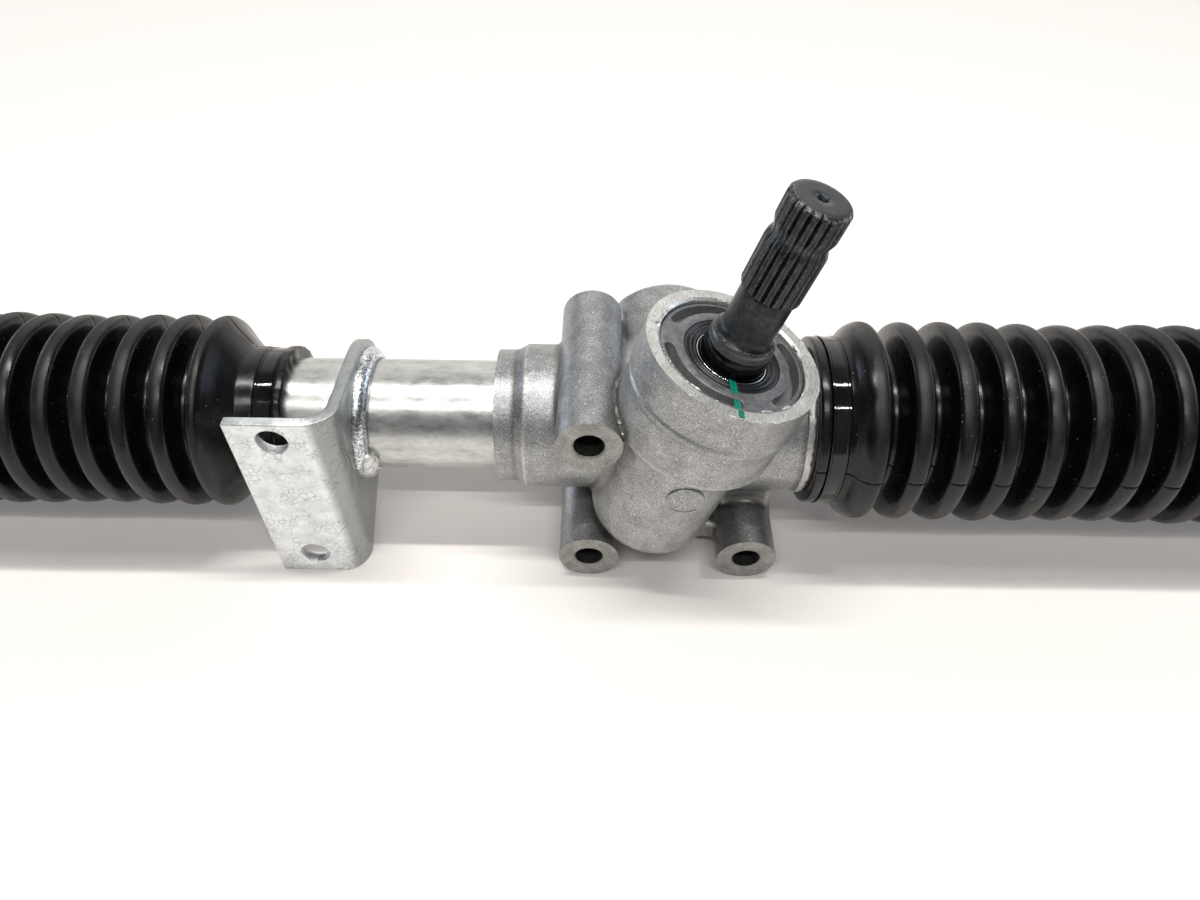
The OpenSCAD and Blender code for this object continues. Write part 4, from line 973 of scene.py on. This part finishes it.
strokes = [brushed("stroke_seal", 9.3, 13.3, 41.5, 0.75, (-1.05, -0.68)),
           brushed("stroke_nut", 13.0, 14.1, 41.71, 0.7, (-0.68, -0.6)),
           brushed("stroke_nut_edge", 16.2, 19.8, 41.71, 0.65, (-0.43, -0.38)),
           brushed("stroke_rim", 20.6, 23.1, RIM_S, 0.6, (-0.36, -0.32))]
stroke = as_one("witness_stroke", *strokes)
stands_for(stroke, "housing_unit", "nut_steel")

# %% [markdown]
# ## Tube, bracket and weld
# The tube keeps its CAD shape. The bracket's plate was sheared and bent, so its edges are rounded and
# its flange leans a little. One bead of weld joins them: a smooth fillet underneath, ripples and
# spatter over it, and one fat drop at the lower front, where the welder stopped.

# %% Bracket and weld
FLANGE_LEAN, UPRIGHT_Z = 0.05, 14


def leaned(piece):
    """Leans the flange, and what is on it, to the right by 5 mm in 100 mm of height, as the press left it."""
    for v in piece.data.vertices:
        x, z = v.co.x / MM, v.co.z / MM
        v.co.x += FLANGE_LEAN * (z - UPRIGHT_Z) * min(max((x + 101) / 8, 0), 1) * MM
    return piece


plate = leaned(softened("bracket_plate", "bracket", sheet_zinc, 0.4))
stands_for(plate, "housing_unit", "plate_steel", "bracket")
fillet = leaned(copy_of("weld_fillet", "bracket_weld", weld_metal))
stands_for(fillet, "housing_unit", "weld_steel", "bracket_weld")
on_flange = ON_RACK @ Matrix.Translation((0, 0, BRACKET_X + 2.5))
bead = leaned(grow("weld_ripples", grains, on_flange, Radius=17.1, Count=120, Seed=3, Length=0.9, Width=1.0,
                   Height=1.1, Least=0.6, Most=1.2, Skew=1.0, Wander=0.3, Metal=weld_metal))
stands_for(bead, "housing_unit", "weld_steel")
spatter = grow("weld_spatter", grains, on_flange @ Matrix.Translation((0, 0, 1.0)), Radius=16.6, Count=60, Seed=12,
               Length=0.6, Width=0.6, Height=0.6, Least=0.15, Most=1.0, Skew=3.0, Wander=1.0, Metal=weld_metal)
stands_for(spatter, "housing_unit", "weld_steel")

# %% The drop where the weld ends


def lump(name, middle, size, material, seed):
    """A drop of metal that froze: a ball pushed in and out by a few seeded waves."""
    work = bmesh.new()
    bmesh.ops.create_icosphere(work, subdivisions=4, radius=1.0)
    waves = np.random.default_rng(seed).normal(size=(7, 3)) * 2.2
    for v in work.verts:
        swell = 1 + 0.05 * sum(sin(w @ np.array(v.co) + i) for i, w in enumerate(waves))
        v.co = (Vector([v.co[i] * size[i] * swell for i in range(3)]) + Vector(middle)) * MM
    return from_work(name, work, material, 180)


drop = lump("weld_drop", (-88.0, -17.6, 28.9), (2.9, 2.4, 4.2), frozen, 8)
stands_for(drop, "housing_unit", "weld_steel")

# %% [markdown]
# ## Boots
# A boot is blown or dipped round a mandrel, so it is a turned wall of rubber whose radius swings
# between valley and crest. The crests are full and blunt and the valleys are narrow and deep. Where the
# mould's halves met, a fine seam runs along it on both sides. Each boot is made as three rings of folds
# that meet in valleys.

# %% One fold, and the seams
WALL, VALLEY, LIP, TAIL = 1.9, 21.0, 9, 14
SIDES = 104
FLANK = [(0, 0), (0.6, 0.04), (1.1, 0.13), (1.6, 0.3), (2.0, 0.52), (2.35, 0.85), (2.65, 1.3), (2.9, 1.9),
         (3.15, 2.8), (3.45, 4.1), (3.75, 5.4), (4.1, 6.7), (4.5, 7.6), (5.0, 8.15)]


def fold(pitch, depth):
    """Points from one valley to the next as (distance from the crest, height over the valley)."""
    half = [(u * (pitch / 2 - 0.01) / 5.88, depth * (1 - v / 8.4)) for u, v in FLANK]
    return [(-u, v) for u, v in reversed(half)] + half[1:] + [(pitch / 2, 0.0)]


def off_seam(angle, seam):
    """Angle to the nearer of the two seams."""
    return np.minimum(*[np.abs((angle - s + pi) % (2 * pi) - pi) for s in (seam, seam + pi)])


print("half a fold:", [(round(u, 1), round(v, 1)) for u, v in fold(11.8, 7.2)][-15::4])

# %% One boot as three rings


def boot(side, name, way, origin, bore, neck, crest, count, cone, end, cuts, seam):
    """Three rings of rubber from lip to rod. Distances run outwards from the lip at origin, in millimetres."""
    first, left = LIP + cone, way < 0
    pitch = (end - first) / (count - 0.5)
    waves = [(VALLEY + v, first + i * pitch + u) for i in range(count) for u, v in fold(pitch, crest - VALLEY)
             if i > 0 or u >= 0]
    bead = neck + (1.6 if left else 1.0)
    lip = [(bead - 0.7, 0), (bead - 0.2, 0.2), (bead, 0.7), (bead, 2.6), (bead - 0.2, 3.0), (neck, 3.2),
           (neck, 8.0), (neck + 0.9, 8.1), (neck + 1.2, 8.5), (neck + 1.4, 9.4)]
    if left:
        rise = [(neck + 1.4, first - 8.6), (neck + 1.8, first - 7.7), (crest - 3.6, first - 3.3),
                (crest - 1.6, first - 1.8), (crest - 0.5, first - 0.9)]
    else:
        rise = [(crest - 3.2, 10.2), (crest - 1.8, 11.3), (crest - 1.0, 12.3), (crest - 0.45, 13.4),
                (crest - 0.12, 14.4)]
    rod = [(13.6, end - 0.3), (11.2, end + 0.9), (9.9, end + 2.2), (9.5, end + 4.5), (9.1, end + 4.7),
           (9.1, end + 9.7), (9.5, end + 9.9), (9.5, end + 13.6), (9.1, end + TAIL)]
    outer = lip + rise + waves + rod
    inner = [(bore, 0), (bore, 9)] + [(r - WALL, h) for r, h in waves[::2]] + [(6.6, end + 1.5), (6.6, end + TAIL)]
    valleys = [first + (i + 0.5) * pitch for i in range(count)]
    marks = [0.0] + [min(valleys, key=lambda v: abs(v - c)) for c in cuts] + [end + TAIL]
    base = np.arange(SIDES) * 2 * pi / SIDES
    fine = [seam + k * pi + np.array([-0.03, -0.012, -0.005, 0.0, 0.005, 0.012, 0.03]) for k in (0, 1)]
    angles = np.sort(np.concatenate([base[off_seam(base, seam) > 0.045], np.concatenate(fine) % (2 * pi)]))
    pieces = []
    for number, (low, high) in enumerate(zip(marks, marks[1:])):
        outside, lining = ([p for p in wall if low - 1e-6 <= p[1] <= high + 1e-6] for wall in (outer, inner[::-1]))

        def moulded(radius, height, angle):
            """Seams all along, a slow drift out of round, and a puckered, ragged lip on the left boot."""
            groove = 0.28 * np.exp(-(off_seam(angle, seam) * radius / 0.22) ** 2)
            drift = 0.25 * np.sin(2 * angle + height * 0.11 + side)
            drift = drift * np.clip((height - 12) / 20, 0, 1) * np.clip((end - height) / 20, 0, 1)
            skin = np.arange(len(radius))[:, None] < len(outside)
            gather = 0.2 * np.sin(31 * angle + 2 * np.sin(5 * angle)) * (0.6 + 0.4 * np.sin(3 * angle))
            pucker = (height < 3) * skin * gather * left
            ragged = (height < 0.3) * (0.5 + 0.5 * np.sin(17 * angle + 3 * np.sin(4 * angle))) * 0.35 * left
            return radius + drift + pucker - groove * skin, height + ragged

        def bloomed(radius, height, angle):
            """Grey bloom on the crests of the folds."""
            return np.clip((radius - crest + 0.5) / 0.4, 0, 1) * (height > 12) * (height < end)

        pieces.append(turned(f"boot_{name}_{number + 1}", outside + lining, rubber, outwards(way, origin), angles,
                             moulded, bloomed, ring=True, sharp=55))
    print("boot cuts at x =", [round(way * (origin + m), 1) for m in marks[1:3]], "pitch", round(pitch, 2))
    return pieces, marks


print("a boot's wall is", WALL, "mm thick")

# %% Both boots
for side, name, way, bore, neck, crest, count, cone, cuts, seam in (
        (0, "left", -1, 16.2, 18.0, 28.2, 13, 12, (88.5, 109.5), radians(123.5)),
        (1, "right", 1, 20.8, 23.8, 29.4, 14, 6.3, (127, 139), radians(-9.0))):
    origin, end = LIPS[name], BOOT_ENDS[name]
    rings, marks = boot(side, name, way, origin, bore, neck, crest, count, cone, end, cuts, seam)
    spans = [("housing_unit", "rack", LIP, marks[1]), ("rack", f"seat_{name}", marks[1], marks[2]),
             (f"seat_{name}", f"rod_{name}", marks[2], end)]
    for piece, (a, b, low, high) in zip(rings, spans):
        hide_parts(f"boot_{name}")
        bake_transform(piece)

# %% [markdown]
# ## Cable ties
# A tie is a flat strap with a raised edge on each side and a locking head. Nylon straight from a
# polished mould is glossy, which sets it off from the satin rubber on both sides of it.

# %% Ties
STRAP = [(0, 0.1), (0, 4.7), (0.15, 4.8), (1.1, 4.8), (1.2, 4.7), (1.2, 4.35), (1.1, 4.2), (0.98, 4.1), (0.98, 0.7),
         (1.1, 0.6), (1.2, 0.45), (1.2, 0.1), (1.1, 0), (0.15, 0)]
HEAD = (6.6, 3.4, 6.0)
for node, name, way, neck, low in (
        ("boot_tie_left", "left", -1, 18.0, 3.2), ("boot_tie_right", "right", 1, 23.8, 3.2),
        ("rod_tie_left", "left", -1, 9.1, BOOT_ENDS["left"] + 4.8),
        ("rod_tie_right", "right", 1, 9.1, BOOT_ENDS["right"] + 4.8)):
    place, r = outwards(way, LIPS[name]), neck + 0.06
    band = turned(node + "_strap", [(r + a, b + low) for a, b in STRAP], nylon, place, 112, ring=True, sharp=28)
    work = bmesh.new()
    bmesh.ops.create_cube(work, size=1.0)
    bmesh.ops.scale(work, vec=HEAD, verts=work.verts)
    bmesh.ops.bevel(work, geom=work.edges[:], offset=0.6, segments=3, affect="EDGES", profile=0.5)
    points = [tuple(v.co) for v in work.verts]
    faces = [[v.index for v in f.verts] for f in work.faces]
    work.free()
    below = place @ basis((0, way * (r + 1.2 + 1.7), low + 2.4), (0, 0, 1), (1, 0, 0))
    tie = as_one(node + "_nylon", band, solid(node + "_head", points, faces, nylon, below))
    stands_for(tie, "housing_unit" if node.startswith("boot") else "rod_" + name, "tie_nylon", node)

# %% [markdown]
# ## Tie rods
# Only the thread is missing from the CAD solids. A rolled thread is one ridge wound round the rod, so
# its radius depends on angle and height together. The rest of each rod is a copy of the CAD solid.

# %% Threaded tie rods
THREAD_PITCH, THREAD_DEPTH, THREAD_R = 1.5, 0.85, 6.0
THREAD_FROM, THREAD_TO, ROD_END = 97.5, 147.6, 148.0


def wound(radius, height, angle):
    """One ridge round the rod that fades out at both ends."""
    turn = (height / THREAD_PITCH - angle / (2 * pi)) % 1
    depth = THREAD_DEPTH * np.clip(np.abs(turn - 0.5) * 2 * 1.15 - 0.08, 0, 1)
    fade = np.clip((height - 98.5) / 2.5, 0, 1) * np.clip((148.2 - height) / 1.5, 0.0, 1)
    return np.where(radius > 4, radius - depth * fade, radius), height


for name, way in (("left", -1), ("right", 1)):
    heights = np.arange(THREAD_FROM, THREAD_TO, 0.25)
    chain = [(0, THREAD_FROM)] + [(THREAD_R, h) for h in heights] + [(5.3, 147.7), (4.9, ROD_END), (0, ROD_END)]
    thread = turned("thread_" + name, chain, turned_steel, outwards(way, BALLS[name]), 40, wound, sharp=50)
    rod_start = Vector((way * (BALLS[name] + 99), 0, RACK_H))
    shank = copy_of("shank_" + name, "tie_rod_" + name, black_oxide, rod_start, (way, 0, 0))
    rod = as_one(f"tie_rod_{name}_steel", shank, thread)
    stands_for(rod, "rod_" + name, "black_steel", "tie_rod_" + name)

# %% [markdown]
# ## Everything else
# The remaining solids keep their CAD shapes and take the finish of the real pieces. Most are inside
# and only show when the rack is taken apart.

# %% Finishes for the CAD solids
finishes = (
    (cast, "housing"), (tube_zinc, "rack_tube"), (weld_metal, "bracket_weld"), (brass, "bearing_cage"),
    (sheet_zinc, "bracket jam_nut_left jam_nut_right"), (phosphate, "yoke_plug pinion_nut"),
    (ground, "rack_bar bearing_inner_ring bearing_outer_ring bearing_balls pinion_bush"),
    (turned_steel, "yoke_spring lock_washer_left lock_washer_right ball_socket_left ball_socket_right"),
    (black_oxide, "pinion_circlip pinion_shaft tie_rod_left tie_rod_right"), (machined, "support_yoke"),
    (acetal, "rack_bush ball_seat_left ball_seat_right"), (nitrile, "yoke_o_ring pinion_seal"),
    (rubber, "boot_left boot_right"), (nylon, "boot_tie_left boot_tie_right rod_tie_left rod_tie_right"),
)
plain_nodes = set(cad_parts)
for material, names in finishes:
    for name in names.split():
        plain_nodes.discard(name)
        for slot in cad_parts[name].material_slots:
            slot.material = material
print("without a finish:", sorted(plain_nodes))

# %% [markdown]
# ## The end
# The dressed rack must fill the same box as the CAD model.
